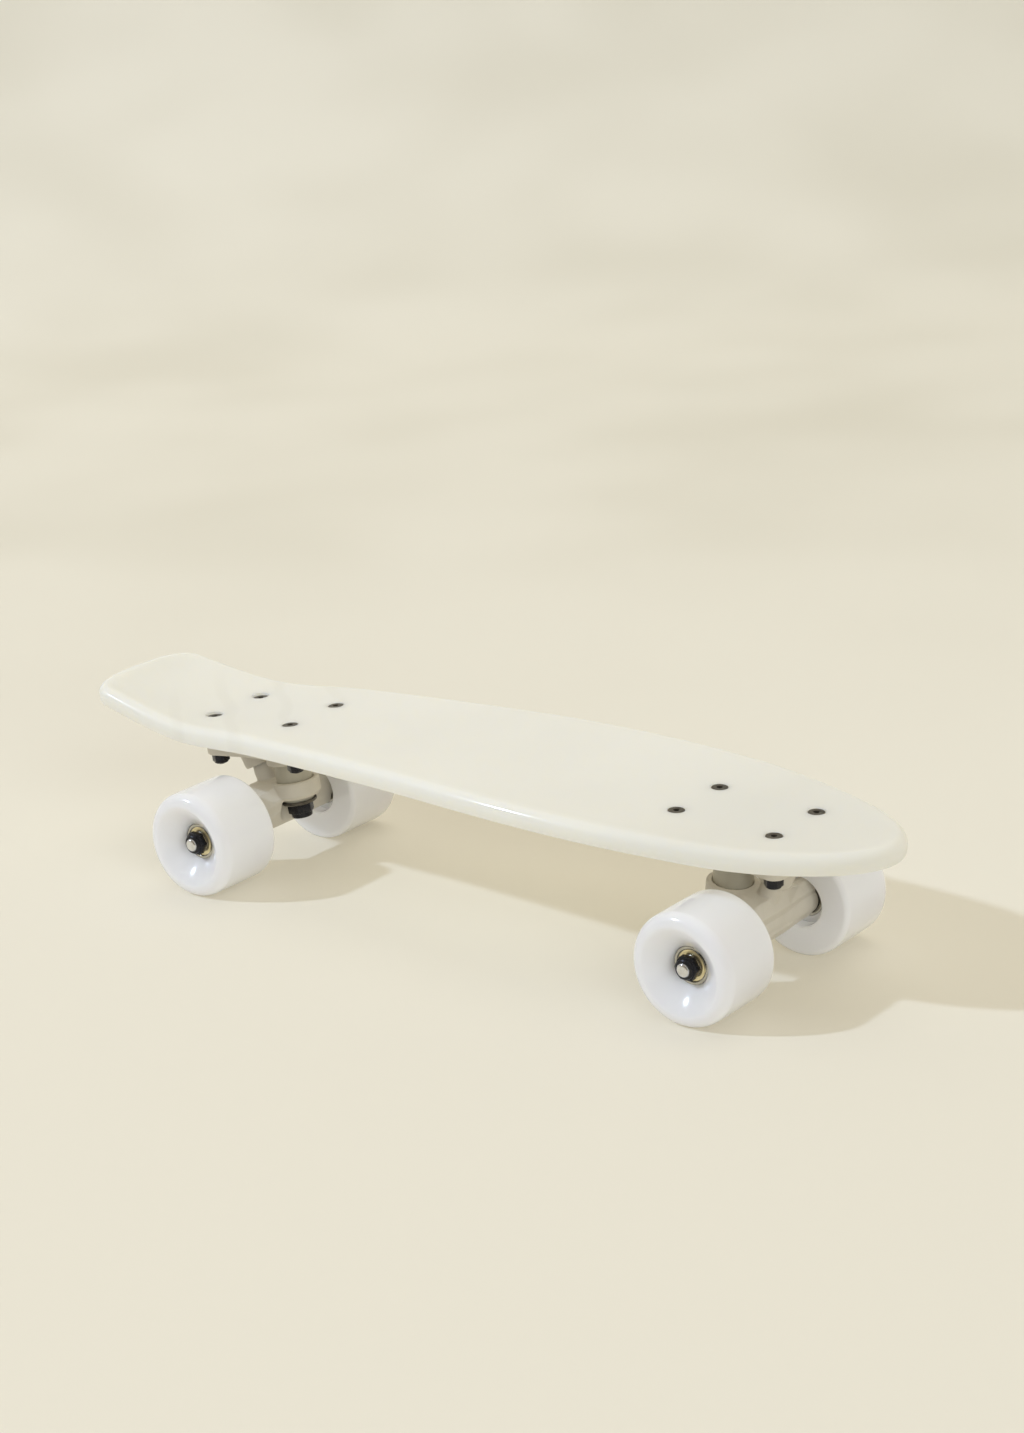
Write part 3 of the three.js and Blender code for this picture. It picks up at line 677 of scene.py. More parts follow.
class Solid:
    """A closed mesh being shaped in millimetres in its own sub-assembly's frame."""

    def __init__(self, name: str, points: Sequence[Point], faces: Sequence[Sequence[int]]) -> None:
        """Puts a mesh in the scene.

        Args:
            name: The piece's name.
            points: Its points.
            faces: The numbers of each face's points.
        """
        mesh = bpy.data.meshes.new(name)
        mesh.from_pydata(points, [], faces)
        mesh.update()
        self.piece = bpy.data.objects.new(name, mesh)
        bpy.context.scene.collection.objects.link(self.piece)
        self.face_outwards()

    def face_outwards(self) -> None:
        """Merges points that meet and turns every face to point away from the inside."""
        work = bmesh.new()
        work.from_mesh(self.piece.data)
        bmesh.ops.remove_doubles(work, verts=work.verts, dist=WELD_DISTANCE)
        bmesh.ops.recalc_face_normals(work, faces=work.faces)
        work.to_mesh(self.piece.data)
        work.free()

    @staticmethod
    def lofted(name: str, rings: Sequence[Sequence[Point]], closed: bool = False, caps: bool = True) -> Solid:
        """Joins rings of points one to the next.

        Args:
            name: The piece's name.
            rings: Rings with the same number of points each.
            closed: Whether the last ring joins the first.
            caps: Whether the first and last ring are filled, where they don't join.

        Returns:
            The solid.
        """
        count = len(rings[0])
        rows = [tuple(range(start, start + count)) for start in range(0, len(rings) * count, count)]
        faces = [
            (low[i - 1], low[i], high[i], high[i - 1])
            for low, high in zip(rows, rows[1:] + (rows[:1] if closed else []))
            for i in range(count)
        ]
        if caps and not closed:
            faces += [rows[0], rows[-1]]
        return Solid(name, [point for ring in rings for point in ring], faces)

    @staticmethod
    def turned(name: str, profile: Profile, steps: int = ROUND_STEPS, closed: bool = False) -> Solid:
        """Turns a profile about Z.

        Args:
            name: The piece's name.
            profile: Radius and height of each point, with its ends filled where they are off the axis.
            steps: Faces round the piece.
            closed: Whether the profile closes on itself.

        Returns:
            The solid.
        """
        angles = [math.tau * (step + 0.5) / steps for step in range(steps)]
        ways = [(math.cos(angle), math.sin(angle)) for angle in angles]
        rings = [[(radius * x, radius * y, height) for x, y in ways] for radius, height in profile]
        return Solid.lofted(name, rings, closed)

    @staticmethod
    def hoop(name: str, section: Profile, radius: float, chords: int = 4, steps: int = ROUND_STEPS) -> Solid:
        """Returns a closed section with rounded corners, turned about Z."""
        return Solid.turned(name, rounded(section, radius, chords, True), steps, True)

    @staticmethod
    def rod(name: str, radius: float, low: float, high: float, steps: int = SMALL_ROUND_STEPS) -> Solid:
        """Returns a plain round bar about Z."""
        return Solid.turned(name, [(radius, low), (radius, high)], steps)

    @staticmethod
    def hexagon(name: str, flats: float, low: float, high: float, chamfer: float = 0.0) -> Solid:
        """Makes a hexagonal bar about Z.

        Args:
            name: The piece's name.
            flats: Its size across flats.
            low: Its lower end.
            high: Its upper end.
            chamfer: How steeply the corners of its lower end are turned down, if they are.

        Returns:
            The bar.
        """
        flat, corner = flats / 2, flats / 2 / math.cos(math.pi / 6)
        plan = [(corner * math.cos(math.pi / 3 * i), corner * math.sin(math.pi / 3 * i)) for i in range(6)]
        bar = Solid.lofted(name, [[(x, y, z) for x, y in plan] for z in (low, high)])
        if chamfer:
            edge = corner + 0.2
            cone = [(flat - 0.1, low), (edge, low + (corner - flat + 0.3) * chamfer), (edge, high)]
            bar.combined(Cut.KEEP_COMMON, Solid.turned("envelope", cone, SMALL_ROUND_STEPS))
        return bar

    def _modify(self, kind: str, **settings: object) -> None:
        """Adds a modifier.

        Args:
            kind: The modifier's type.
            settings: Its settings.
        """
        modifier = self.piece.modifiers.new(kind.lower(), kind)
        for key, value in settings.items():
            setattr(modifier, key, value)

    def evaluated(self) -> Solid:
        """Applies the modifiers that the piece holds.

        Returns:
            The piece itself.
        """
        graph = bpy.context.evaluated_depsgraph_get()
        mesh = bpy.data.meshes.new_from_object(self.piece.evaluated_get(graph), depsgraph=graph)
        old = self.piece.data
        self.piece.modifiers.clear()
        self.piece.data = mesh
        bpy.data.meshes.remove(old)
        return self

    def combined(self, how: Cut, *tools: Solid) -> Solid:
        """Joins, removes or intersects other solids.

        Args:
            how: What the tools do.
            tools: The other solids, which are used up.

        Returns:
            The piece itself.
        """
        for tool in tools:
            self._modify("BOOLEAN", operation=how.value, solver="EXACT", object=tool.piece)
            bpy.context.view_layer.update()
            self.evaluated()
            tool.discard()
        return self

    def cast(self) -> Solid:
        """Gives the piece the soft edges and inner corners of a casting.

        Returns:
            The piece itself.
        """
        self._modify("REMESH", mode="VOXEL", voxel_size=CAST_GRID)
        self._modify("SMOOTH", factor=0.5, iterations=CAST_ROUNDS)
        return self.evaluated()

    def softened(self, width: float, angle: float = 40.0) -> Solid:
        """Rounds the sharp edges.

        Args:
            width: How wide the rounding is.
            angle: The angle in degrees from which an edge is rounded.

        Returns:
            The piece itself.
        """
        limit = {"limit_method": "ANGLE", "angle_limit": math.radians(angle)}
        self._modify("BEVEL", width=width, segments=2, harden_normals=False, **limit)
        return self.evaluated()

    def moved(self, matrix: Matrix) -> Solid:
        """Moves the mesh itself and leaves the object at the origin.

        Args:
            matrix: The move.

        Returns:
            The piece itself.
        """
        self.piece.data.transform(matrix)
        self.piece.data.update()
        return self

    def discard(self) -> None:
        """Takes the piece out of the scene."""
        mesh = self.piece.data
        bpy.data.objects.remove(self.piece)
        bpy.data.meshes.remove(mesh)

    def _dressed(self, finish: Finish, matrix: Matrix, crease: float) -> None:
        """Gives the piece its material, its smooth shading and its place.

        Args:
            finish: Its finish.
            matrix: From its own millimetres to the row frame's metres.
            crease: The angle in degrees from which an edge stays sharp.
        """
        mesh = self.piece.data
        mesh.materials.clear()
        mesh.materials.append(finish.material)
        mesh.shade_smooth()
        mesh.set_sharp_from_angle(angle=math.radians(crease))
        self.moved(matrix)

    def seated(
        self, finish: Finish, matrix: Matrix, body: str, nodes: Iterable[str] = (), crease: float = CREASE,
    ) -> None:
        """Dresses the finished piece and hands it to a body.

        Args:
            finish: Its finish.
            matrix: From its own frame to the board's, in millimetres.
            body: The body that it moves with.
            nodes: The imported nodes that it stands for.
            crease: The angle in degrees from which an edge stays sharp.
        """
        self._dressed(finish, METRES @ matrix, crease)
        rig.ride(self.piece, body)
        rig.slot(self.piece, finish.slot)
        if nodes:
            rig.replaces(self.piece, *nodes)
        LOG.info("%s rides on %s", self.piece.name, body)

    def bridged(
        self, finish: Finish, matrix: Matrix, bodies: tuple[str, str], heights: Pair, node: str,
    ) -> None:
        """Dresses the finished piece and lets it bend between two bodies.

        Args:
            finish: Its finish.
            matrix: From its own frame to the board's, in millimetres.
            bodies: The body at the piece's first height and the one at its second.
            heights: Where along its axis each body's hold ends.
            node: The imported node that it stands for.
        """
        place = METRES @ matrix
        self._dressed(finish, place, CREASE)
        start, end = (tuple(place @ Vector((0, 0, height))) for height in heights)
        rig.blend(self.piece, *bodies, start=start, end=end)
        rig.slot(self.piece, finish.slot)
        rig.replaces(self.piece, node)
        LOG.info("%s bends between %s and %s", self.piece.name, *bodies)


def paint_node(node: str, finish: Finish) -> None:
    """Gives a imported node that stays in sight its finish.

    Args:
        node: The node's name.
        finish: Its finish.
    """
    for slot in frame["nodes"][node].material_slots:
        slot.material = finish.material
    LOG.info("%s keeps its packed shape", node)


# Rules for what repeats or follows a path


class Rule(Tree):
    """A Geometry Nodes tree with named inputs, run once for each piece and baked to a plain mesh."""

    def __init__(self, name: str, **inputs: str) -> None:
        """Makes the tree.

        Args:
            name: The tree's name.
            inputs: The socket type of each input.
        """
        super().__init__(bpy.data.node_groups.new(name, "GeometryNodeTree"))
        face = self.tree.interface
        face.new_socket(name="Geometry", in_out="OUTPUT", socket_type="NodeSocketGeometry")
        self.keys = {
            label: face.new_socket(name=label, in_out="INPUT", socket_type=f"NodeSocket{kind}").identifier
            for label, kind in inputs.items()
        }
        self.entry = self.add("NodeGroupInput")

    def given(self, label: str) -> bpy.types.NodeSocket:
        """Returns the socket that carries a named input."""
        return self.entry.outputs[label]

    def finished(self, geometry: bpy.types.NodeSocket) -> None:
        """Ends the tree in Realize Instances and Set Material.

        Args:
            geometry: What the tree has made.
        """
        real = self.add("GeometryNodeRealizeInstances", {}, {"Geometry": geometry}).outputs[0]
        paint = self.add("GeometryNodeSetMaterial", {}, {"Geometry": real, "Material": self.given("Finish")})
        self.add("NodeGroupOutput", {}, {0: paint.outputs[0]})

    def run(self, name: str, **values: object) -> Solid:
        """Runs the tree on a carrier.

        Args:
            name: The piece's name.
            values: A value for each named input.

        Returns:
            The result as a plain solid.
        """
        carrier = Solid(name, [(0.0, 0.0, 0.0)], [])
        modifier = carrier.piece.modifiers.new("rule", "NODES")
        modifier.node_group = self.tree
        for label, value in values.items():
            modifier[self.keys[label]] = value
        bpy.context.view_layer.update()
        return carrier.evaluated()


class BoltPattern(Rule):
    """Repeats one fastener at the four corners of a mounting pattern, each turned its own way."""

    def __init__(self) -> None:
        """Builds the tree."""
        super().__init__(
            "bolt_pattern", Along="Float", Across="Float", Offset="Float", Seed="Int",
            Fastener="Object", Finish="Material",
        )
        size = {"Size X": self.given("Along"), "Size Y": self.given("Across")}
        grid = self.add("GeometryNodeMeshGrid", {}, {**size, "Vertices X": 2, "Vertices Y": 2}).outputs[0]
        shift = self.add("ShaderNodeCombineXYZ", {}, {"X": self.given("Offset")}).outputs[0]
        moved = self.add("GeometryNodeTransform", {}, {"Geometry": grid, "Translation": shift}).outputs[0]
        reach = {2: 0.0, 3: math.tau, "Seed": self.given("Seed")}
        turn = self.add("FunctionNodeRandomValue", {"data_type": "FLOAT"}, reach).outputs[1]
        spin = self.add("ShaderNodeCombineXYZ", {}, {"Z": turn}).outputs[0]
        shape = self.add("GeometryNodeObjectInfo", {}, {"Object": self.given("Fastener")}).outputs["Geometry"]
        spread = self.add(
            "GeometryNodeInstanceOnPoints", {}, {"Points": moved, "Instance": shape, "Rotation": spin},
        )
        self.finished(spread.outputs[0])


class ThreadRidge(Rule):
    """Winds a ridge round a bolt's end."""

    def __init__(self) -> None:
        """Builds the tree."""
        super().__init__(
            "thread_ridge", Turns="Float", Radius="Float", Length="Float", Ridge="Float", Start="Vector",
            Finish="Material",
        )
        coil = self.add("GeometryNodeCurveSpiral", {}, {
            "Resolution": 32, "Rotations": self.given("Turns"), "Start Radius": self.given("Radius"),
            "End Radius": self.given("Radius"), "Height": self.given("Length"),
        })
        size = {"Resolution": 4, "Radius": self.given("Ridge")}
        crest = self.add("GeometryNodeCurvePrimitiveCircle", {"mode": "RADIUS"}, size)
        curves = {"Curve": coil.outputs[0], "Profile Curve": crest.outputs[0], "Fill Caps": True}
        wound = self.add("GeometryNodeCurveToMesh", {}, curves).outputs[0]
        place = {"Geometry": wound, "Translation": self.given("Start")}
        self.finished(self.add("GeometryNodeTransform", {}, place).outputs[0])


class TurnedRule(Rule):
    """Turns a closed profile round an axle, as a wheel is cast in a turned mould."""

    def __init__(self) -> None:
        """Builds the tree."""
        super().__init__("turned_rule", Steps="Int", Path="Float", Section="Object", Finish="Material")
        size = {"Resolution": self.given("Steps"), "Radius": self.given("Path")}
        path = self.add("GeometryNodeCurvePrimitiveCircle", {"mode": "RADIUS"}, size).outputs[0]
        shape = self.add("GeometryNodeObjectInfo", {}, {"Object": self.given("Section")}).outputs["Geometry"]
        swept = self.add("GeometryNodeCurveToMesh", {}, {"Curve": path, "Profile Curve": shape})
        self.finished(swept.outputs[0])


# Places shared by the sub-assemblies


@dataclass(frozen=True)
class Stance:
    """Where the trucks stand under the board, in millimetres, and the plate that they share with it."""

    wheelbase: float = 362.7
    nose_overhang: float = 88.0
    tail_overhang: float = 115.0
    wheel_radius: float = 32.7
    truck_height: float = 46.9
    pad_height: float = 5.2
    deck_thickness: float = 11.5
    pattern_offset: float = 11.1
    bolt_along: float = 63.5
    bolt_across: float = 41.3
    front_lean: float = 2.5
    rear_lean: float = 4.5
    lobe_radius: float = 7.6
    waist_depth: float = 7.0

    @property
    def length(self) -> float:
        """The deck's whole length."""
        return self.wheelbase + self.nose_overhang + self.tail_overhang

    @property
    def deck_top(self) -> float:
        """The deck's top above the axle, square to the baseplate."""
        return self.truck_height + self.pad_height + self.deck_thickness

    @property
    def screws(self) -> list[Pair]:
        """The places of one truck's four screws, in its own frame."""
        x, y = self.bolt_along / 2, self.bolt_across / 2
        return [(along * x - self.pattern_offset, across * y) for along in (-1, 1) for across in (-1, 1)]

    def axle_middle(self, end: End) -> Matrix:
        """Returns the move to the middle of an axle."""
        x = self.length / 2 - self.nose_overhang if end is End.FRONT else self.tail_overhang - self.length / 2
        return Matrix.Translation((x, 0.0, self.wheel_radius))

    def truck(self, end: End) -> Matrix:
        """Returns the matrix from a truck's own frame to the board's."""
        turn, lean = (0.0, self.front_lean) if end is End.FRONT else (math.pi, self.rear_lean)
        return self.axle_middle(end) @ Matrix.Rotation(turn, 4, "Z") @ leant(0, 0, lean)

    def axle(self, end: End, side: Side) -> Matrix:
        """Returns the matrix from a wheel's own frame, outward end up, to the board's."""
        turn = -RIGHT_ANGLE if side is Side.LEFT else RIGHT_ANGLE
        return self.axle_middle(end) @ Matrix.Rotation(turn, 4, "X")

    def pad_point(self, end: End, along: float) -> Pair:
        """Returns x and z of the deck's top over a mounting pattern, along from its middle."""
        point = self.truck(end) @ Vector((along - self.pattern_offset, 0.0, self.deck_top))
        return point.x, point.z

    def plate(self, margin: float, steps: int = 10) -> Profile:
        """Draws the plan of the baseplate: a lobe round each screw and waisted long sides.

        Args:
            margin: How much wider the plan is all round.
            steps: Chords in each lobe, and half of those in each side.

        Returns:
            The plan in the truck's frame.
        """
        x, y = self.bolt_along / 2, self.bolt_across / 2
        radius = self.lobe_radius + margin
        edge, waist = y + radius, y + radius - self.waist_depth
        out = arc((x, y), radius, 0, 90, steps)
        out += bow((x, edge), (0, waist), (-x, edge), steps * 2)[1:-1]
        out += arc((-x, y), radius, 90, 180, steps)
        out += arc((-x, -y), radius, 180, 270, steps)
        out += bow((-x, -edge), (0, -waist), (x, -edge), steps * 2)[1:-1]
        out += arc((x, -y), radius, 270, 360, steps)
        return [(px - self.pattern_offset, py) for px, py in out]


STANCE = Stance()


@dataclass
class Assembly:
    """A truck or a wheel set: the end that it is at and the finishes of its pieces."""

    end: End
    finishes: dict[Look, Finish]

    @property
    def name(self) -> str:
        """The start of its pieces' names."""
        return self.end.value

    @property
    def hanger(self) -> str:
        """The body that this end's axle steers with."""
        return f"{self.end.value}_hanger"

    @property
    def stand(self) -> Matrix:
        """The matrix from its own frame to the board's, in millimetres."""
        return STANCE.truck(self.end)

    def seat(
        self, solid: Solid, look: Look, body: str, nodes: Sequence[str] = (), place: Matrix = HERE,
        crease: float = CREASE,
    ) -> None:
        """Seats one of its pieces.

        Args:
            solid: The piece.
            look: Its look.
            body: The body that it moves with.
            nodes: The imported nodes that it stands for, without the start of their names.
            place: From the piece's frame to the assembly's.
            crease: The angle in degrees from which an edge stays sharp.
        """
        names = [f"{self.name}_{node}" for node in nodes]
        solid.seated(self.finishes[look], self.stand @ place, body, names, crease)


# Deck


class SmoothCurve:
    """A smooth curve through stations, as a height for each x."""

    def __init__(self, stations: Iterable[Pair]) -> None:
        """Works out the slope at each station.

        Args:
            stations: Points of the curve from its lowest x to its highest.
        """
        self.stations = list(stations)
        ahead, behind = self.stations[1:] + self.stations[-1:], self.stations[:1] + self.stations[:-1]
        self.slopes = [(z1 - z0) / (x1 - x0) for (x0, z0), (x1, z1) in zip(behind, ahead)]

    def __call__(self, x: float) -> float:
        """Finds the curve's height.

        Args:
            x: Where along the curve.

        Returns:
            The height there.
        """
        last = len(self.stations) - 1
        later = next((i for i, station in enumerate(self.stations) if station[0] >= x), last)
        i = max(later, 1)
        (x0, z0), (x1, z1) = self.stations[i - 1], self.stations[i]
        span = x1 - x0
        t = (x - x0) / span
        rise = (z1 - z0) * t * t * (3 - 2 * t)
        leaving, coming = self.slopes[i - 1] * span, self.slopes[i] * span
        return z0 + rise + t * (1 - t) ** 2 * leaving - t * t * (1 - t) * coming


@dataclass
class Deck:
    """The moulded deck, with its dished top, kicktail, softly rounded rim and the pads under it."""

    half_width: float = 67.9
    side_taper: float = 0.09
    nose_round: float = 272.0
    nose_fullness: float = 1.95
    tail_round: float = 17.5
    tail_fullness: float = 2.5
    outline_steps: tuple[int, int, int] = (90, 80, 26)
    rim_lifts: tuple[float, ...] = (3.4, 1.5, 1.4, 1.7, 1.5, 1.4)
    rim_power: float = 2.6
    rim_top: float = 6.0
    rim_nose_gain: float = 0.6
    rim_nose_start: float = 0.15
    rim_under: float = 1.6
    rim_draft: float = 0.6
    rim_bulge: float = 0.12
    waist_rise: float = 4.7
    kick_start: float = 56.0
    kick_start_rise: float = 0.7
    kick_tip_rise: float = 9.4
    kick_lead: float = 0.8
    nose_drop: float = 2.2
    nose_spine_inset: float = 70.0
    tail_spine_inset: float = 38.0
    pad_margin: float = 2.5
    pad_edge: float = 1.2
    pad_draft: float = 0.6
    head_radius: float = 5.05
    head_height: float = 2.7
    head_recess: float = 0.1
    head_flare: Pair = (0.45, 0.35)
    hole_radius: float = 2.8
    hole_steps: int = 40
    top_steps: int = 14
    roll_steps: int = 8
    side_steps: int = 6
    edge_steps: int = 6
    under_steps: int = 10
    crease: float = 42.0

    def _curves(self) -> tuple[SmoothCurve, SmoothCurve]:
        """Draws the deck's side view.

        Returns:
            The centreline's height and the rim's lift over it.
        """
        half, reach = STANCE.length / 2, STANCE.bolt_along / 2
        rear_outer, rear_inner = STANCE.pad_point(End.REAR, reach), STANCE.pad_point(End.REAR, -reach)
        front_inner, front_outer = STANCE.pad_point(End.FRONT, -reach), STANCE.pad_point(End.FRONT, reach)
        level = (rear_inner[1] + rear_outer[1]) / 2
        waist = (rear_inner[0] + front_inner[0]) / 2
        crown = SmoothCurve([
            (-half, level + self.kick_tip_rise),
            (-half + self.kick_start, level + self.kick_start_rise),
            (rear_outer[0], rear_outer[1] + self.kick_lead),
            rear_inner,
            (waist, level + self.waist_rise),
            front_inner,
            front_outer,
            (half, level - self.nose_drop),
        ])
        places = (-half, rear_outer[0], waist, front_inner[0], front_outer[0], half)
        return crown, SmoothCurve(zip(places, self.rim_lifts))

    def _side(self, x: float) -> float:
        """Returns the half width of the plan before its ends are rounded."""
        return self.half_width + self.side_taper * x

    def _end(self, centre: float, reach: float, fullness: float, ways: Iterable[float]) -> Profile:
        """Draws one rounded end of the plan.

        Args:
            centre: Where along the board it starts.
            reach: How far it reaches along the board.
            fullness: The power of its curve.
            ways: Shares of the way from its tip to its start.

        Returns:
            Its left half.
        """
        out: Profile = []
        for way in ways:
            x = centre + reach * math.cos(way * RIGHT_ANGLE) ** (2 / fullness)
            out.append((x, self._side(x) * math.sin(way * RIGHT_ANGLE) ** (2 / fullness)))
        return out

    def _half_outline(self) -> Profile:
        """Draws the left half of the plan.

        Returns:
            Its points from the nose tip to the tail tip.
        """
        half = STANCE.length / 2
        nose, tail = half - self.nose_round, self.tail_round - half
        nose_steps, side_steps, tail_steps = self.outline_steps
        sides = [nose + (tail - nose) * share for share in shares(side_steps)[1:-1]]
        points = self._end(nose, self.nose_round, self.nose_fullness, shares(nose_steps))
        points += [(x, self._side(x)) for x in sides]
        return points + self._end(tail, -self.tail_round, self.tail_fullness, reversed(shares(tail_steps)))

    def _roll(self, x: float) -> float:
        """Returns the radius of the rim's upper corner, which grows towards the nose."""
        share = min(max(x / STANCE.length * 2 + self.rim_nose_start, 0.0), 1.0)
        return self.rim_top + self.rim_nose_gain * share * share * (3 - 2 * share)

    def _levels(self) -> list[tuple[float, ...]]:
        """Lists the skin's levels from the top's spine to the underside's.

        Returns:
            For each level, its share of the way to the rim, then its inset and its drop, each as a fixed part
            and a part per roll.
        """
        thick, low, inset = STANCE.deck_thickness, self.rim_under, self.rim_draft + self.rim_under
        levels = [(share, 0.0, 1.0, 0.0, 0.0) for share in shares(self.top_steps)[:-1]]
        roll = arc((-1.0, -1.0), 1.0, 90, 0, self.roll_steps)
        levels += [(1.0, 0.0, -out, 0.0, -down) for out, down in roll]
        for t in shares(self.side_steps)[1:-1]:
            draft = self.rim_draft * t - self.rim_bulge * 4 * t * (1 - t)
            levels.append((1.0, draft, 0.0, (thick - low) * t, 1 - t))
        edge = arc((-inset, low - thick), low, 0, -90, self.edge_steps)
        levels += [(1.0, -out, 0.0, -down, 0.0) for out, down in edge]
        return levels + [(1 - share, inset, 0.0, thick, 0.0) for share in shares(self.under_steps)[1:]]

    def _skin(self) -> Solid:
        """Makes the deck's smooth skin, closed along the spines of its top and underside.

        Returns:
            The skin.
        """
        half = self._half_outline()
        outline = half + [(x, -y) for x, y in reversed(half[1:-1])]
        crown, lift = self._curves()
        spine_low = self.tail_spine_inset - STANCE.length / 2
        spine_high = STANCE.length / 2 - self.nose_spine_inset
        rings = []
        for share, inset, inset_roll, drop, drop_roll in self._levels():
            ring = []
            for x, y in outline:
                spine = min(max(x, spine_low), spine_high)
                roll = self._roll(x)
                part = share * (1 - (inset + inset_roll * roll) / math.hypot(x - spine, y))
                px = spine + (x - spine) * part
                height = crown(px) + lift(px) * share ** self.rim_power
                ring.append((px, y * part, height - drop - drop_roll * roll))
            rings.append(ring)
        return Solid.lofted("deck_shell", rings, caps=False)

    def _pad(self, end: End) -> Solid:
        """Makes the flat pad that one baseplate is bolted to, with a rounded lower edge.

        Args:
            end: The baseplate's end of the board.

        Returns:
            The pad in the board's frame.
        """
        low, edge = STANCE.truck_height, self.pad_edge
        turns = (0.0, 0.5, 1.0, RIGHT_ANGLE)
        levels = [(-edge * (1 - math.sin(a)), low + edge * (1 - math.cos(a))) for a in turns]
        levels.append((self.pad_draft, low + STANCE.pad_height + STANCE.deck_thickness / 2))
        rings = [[(x, y, z) for x, y in STANCE.plate(self.pad_margin + margin)] for margin, z in levels]
        return Solid.lofted(f"{end.value}_pad", rings).moved(STANCE.truck(end))

    def _countersinks(self, end: End) -> list[Solid]:
        """Makes the four cutters of one screw pattern.

        Args:
            end: The pattern's end of the board.

        Returns:
            The cutters in the board's frame.
        """
        low, high = STANCE.truck_height - CUT_OVERRUN, STANCE.deck_top
        top, over = high - self.head_recess, high + 6
        hole, head, flare = self.hole_radius, self.head_radius, self.head_radius + self.head_flare[0]
        profile = [
            (0.0, low), (hole, low), (hole, top - self.head_height - PLAY), (head, top - PLAY),
            (head, top + 0.05), (flare, high + self.head_flare[1]), (flare, over), (0.0, over),
        ]
        places = [STANCE.truck(end) @ Matrix.Translation((x, y, 0)) for x, y in STANCE.screws]
        return [Solid.turned("countersink", profile, self.hole_steps).moved(place) for place in places]

    def _bolts(self) -> tuple[Pair, ...]:
        """Finds the pairs of screws on the deck's top.

        Returns:
            The place along the board and the half spacing of each pair, in metres.
        """
        reach, across = STANCE.bolt_along / 2, STANCE.bolt_across / 2 * MILLIMETRE
        places = [STANCE.pad_point(end, x)[0] for end in End for x in (-reach, reach)]
        return tuple((place * MILLIMETRE, across) for place in places)

    def build(self) -> None:
        """Makes the deck and seats it."""
        shell = self._skin()
        shell.combined(Cut.JOIN, *(self._pad(end) for end in End))
        shell.combined(Cut.REMOVE, *(tool for end in End for tool in self._countersinks(end)))
        shell.seated(MouldedIvory(self._bolts()).make(), HERE, "deck", ["deck"], self.crease)


# Truck


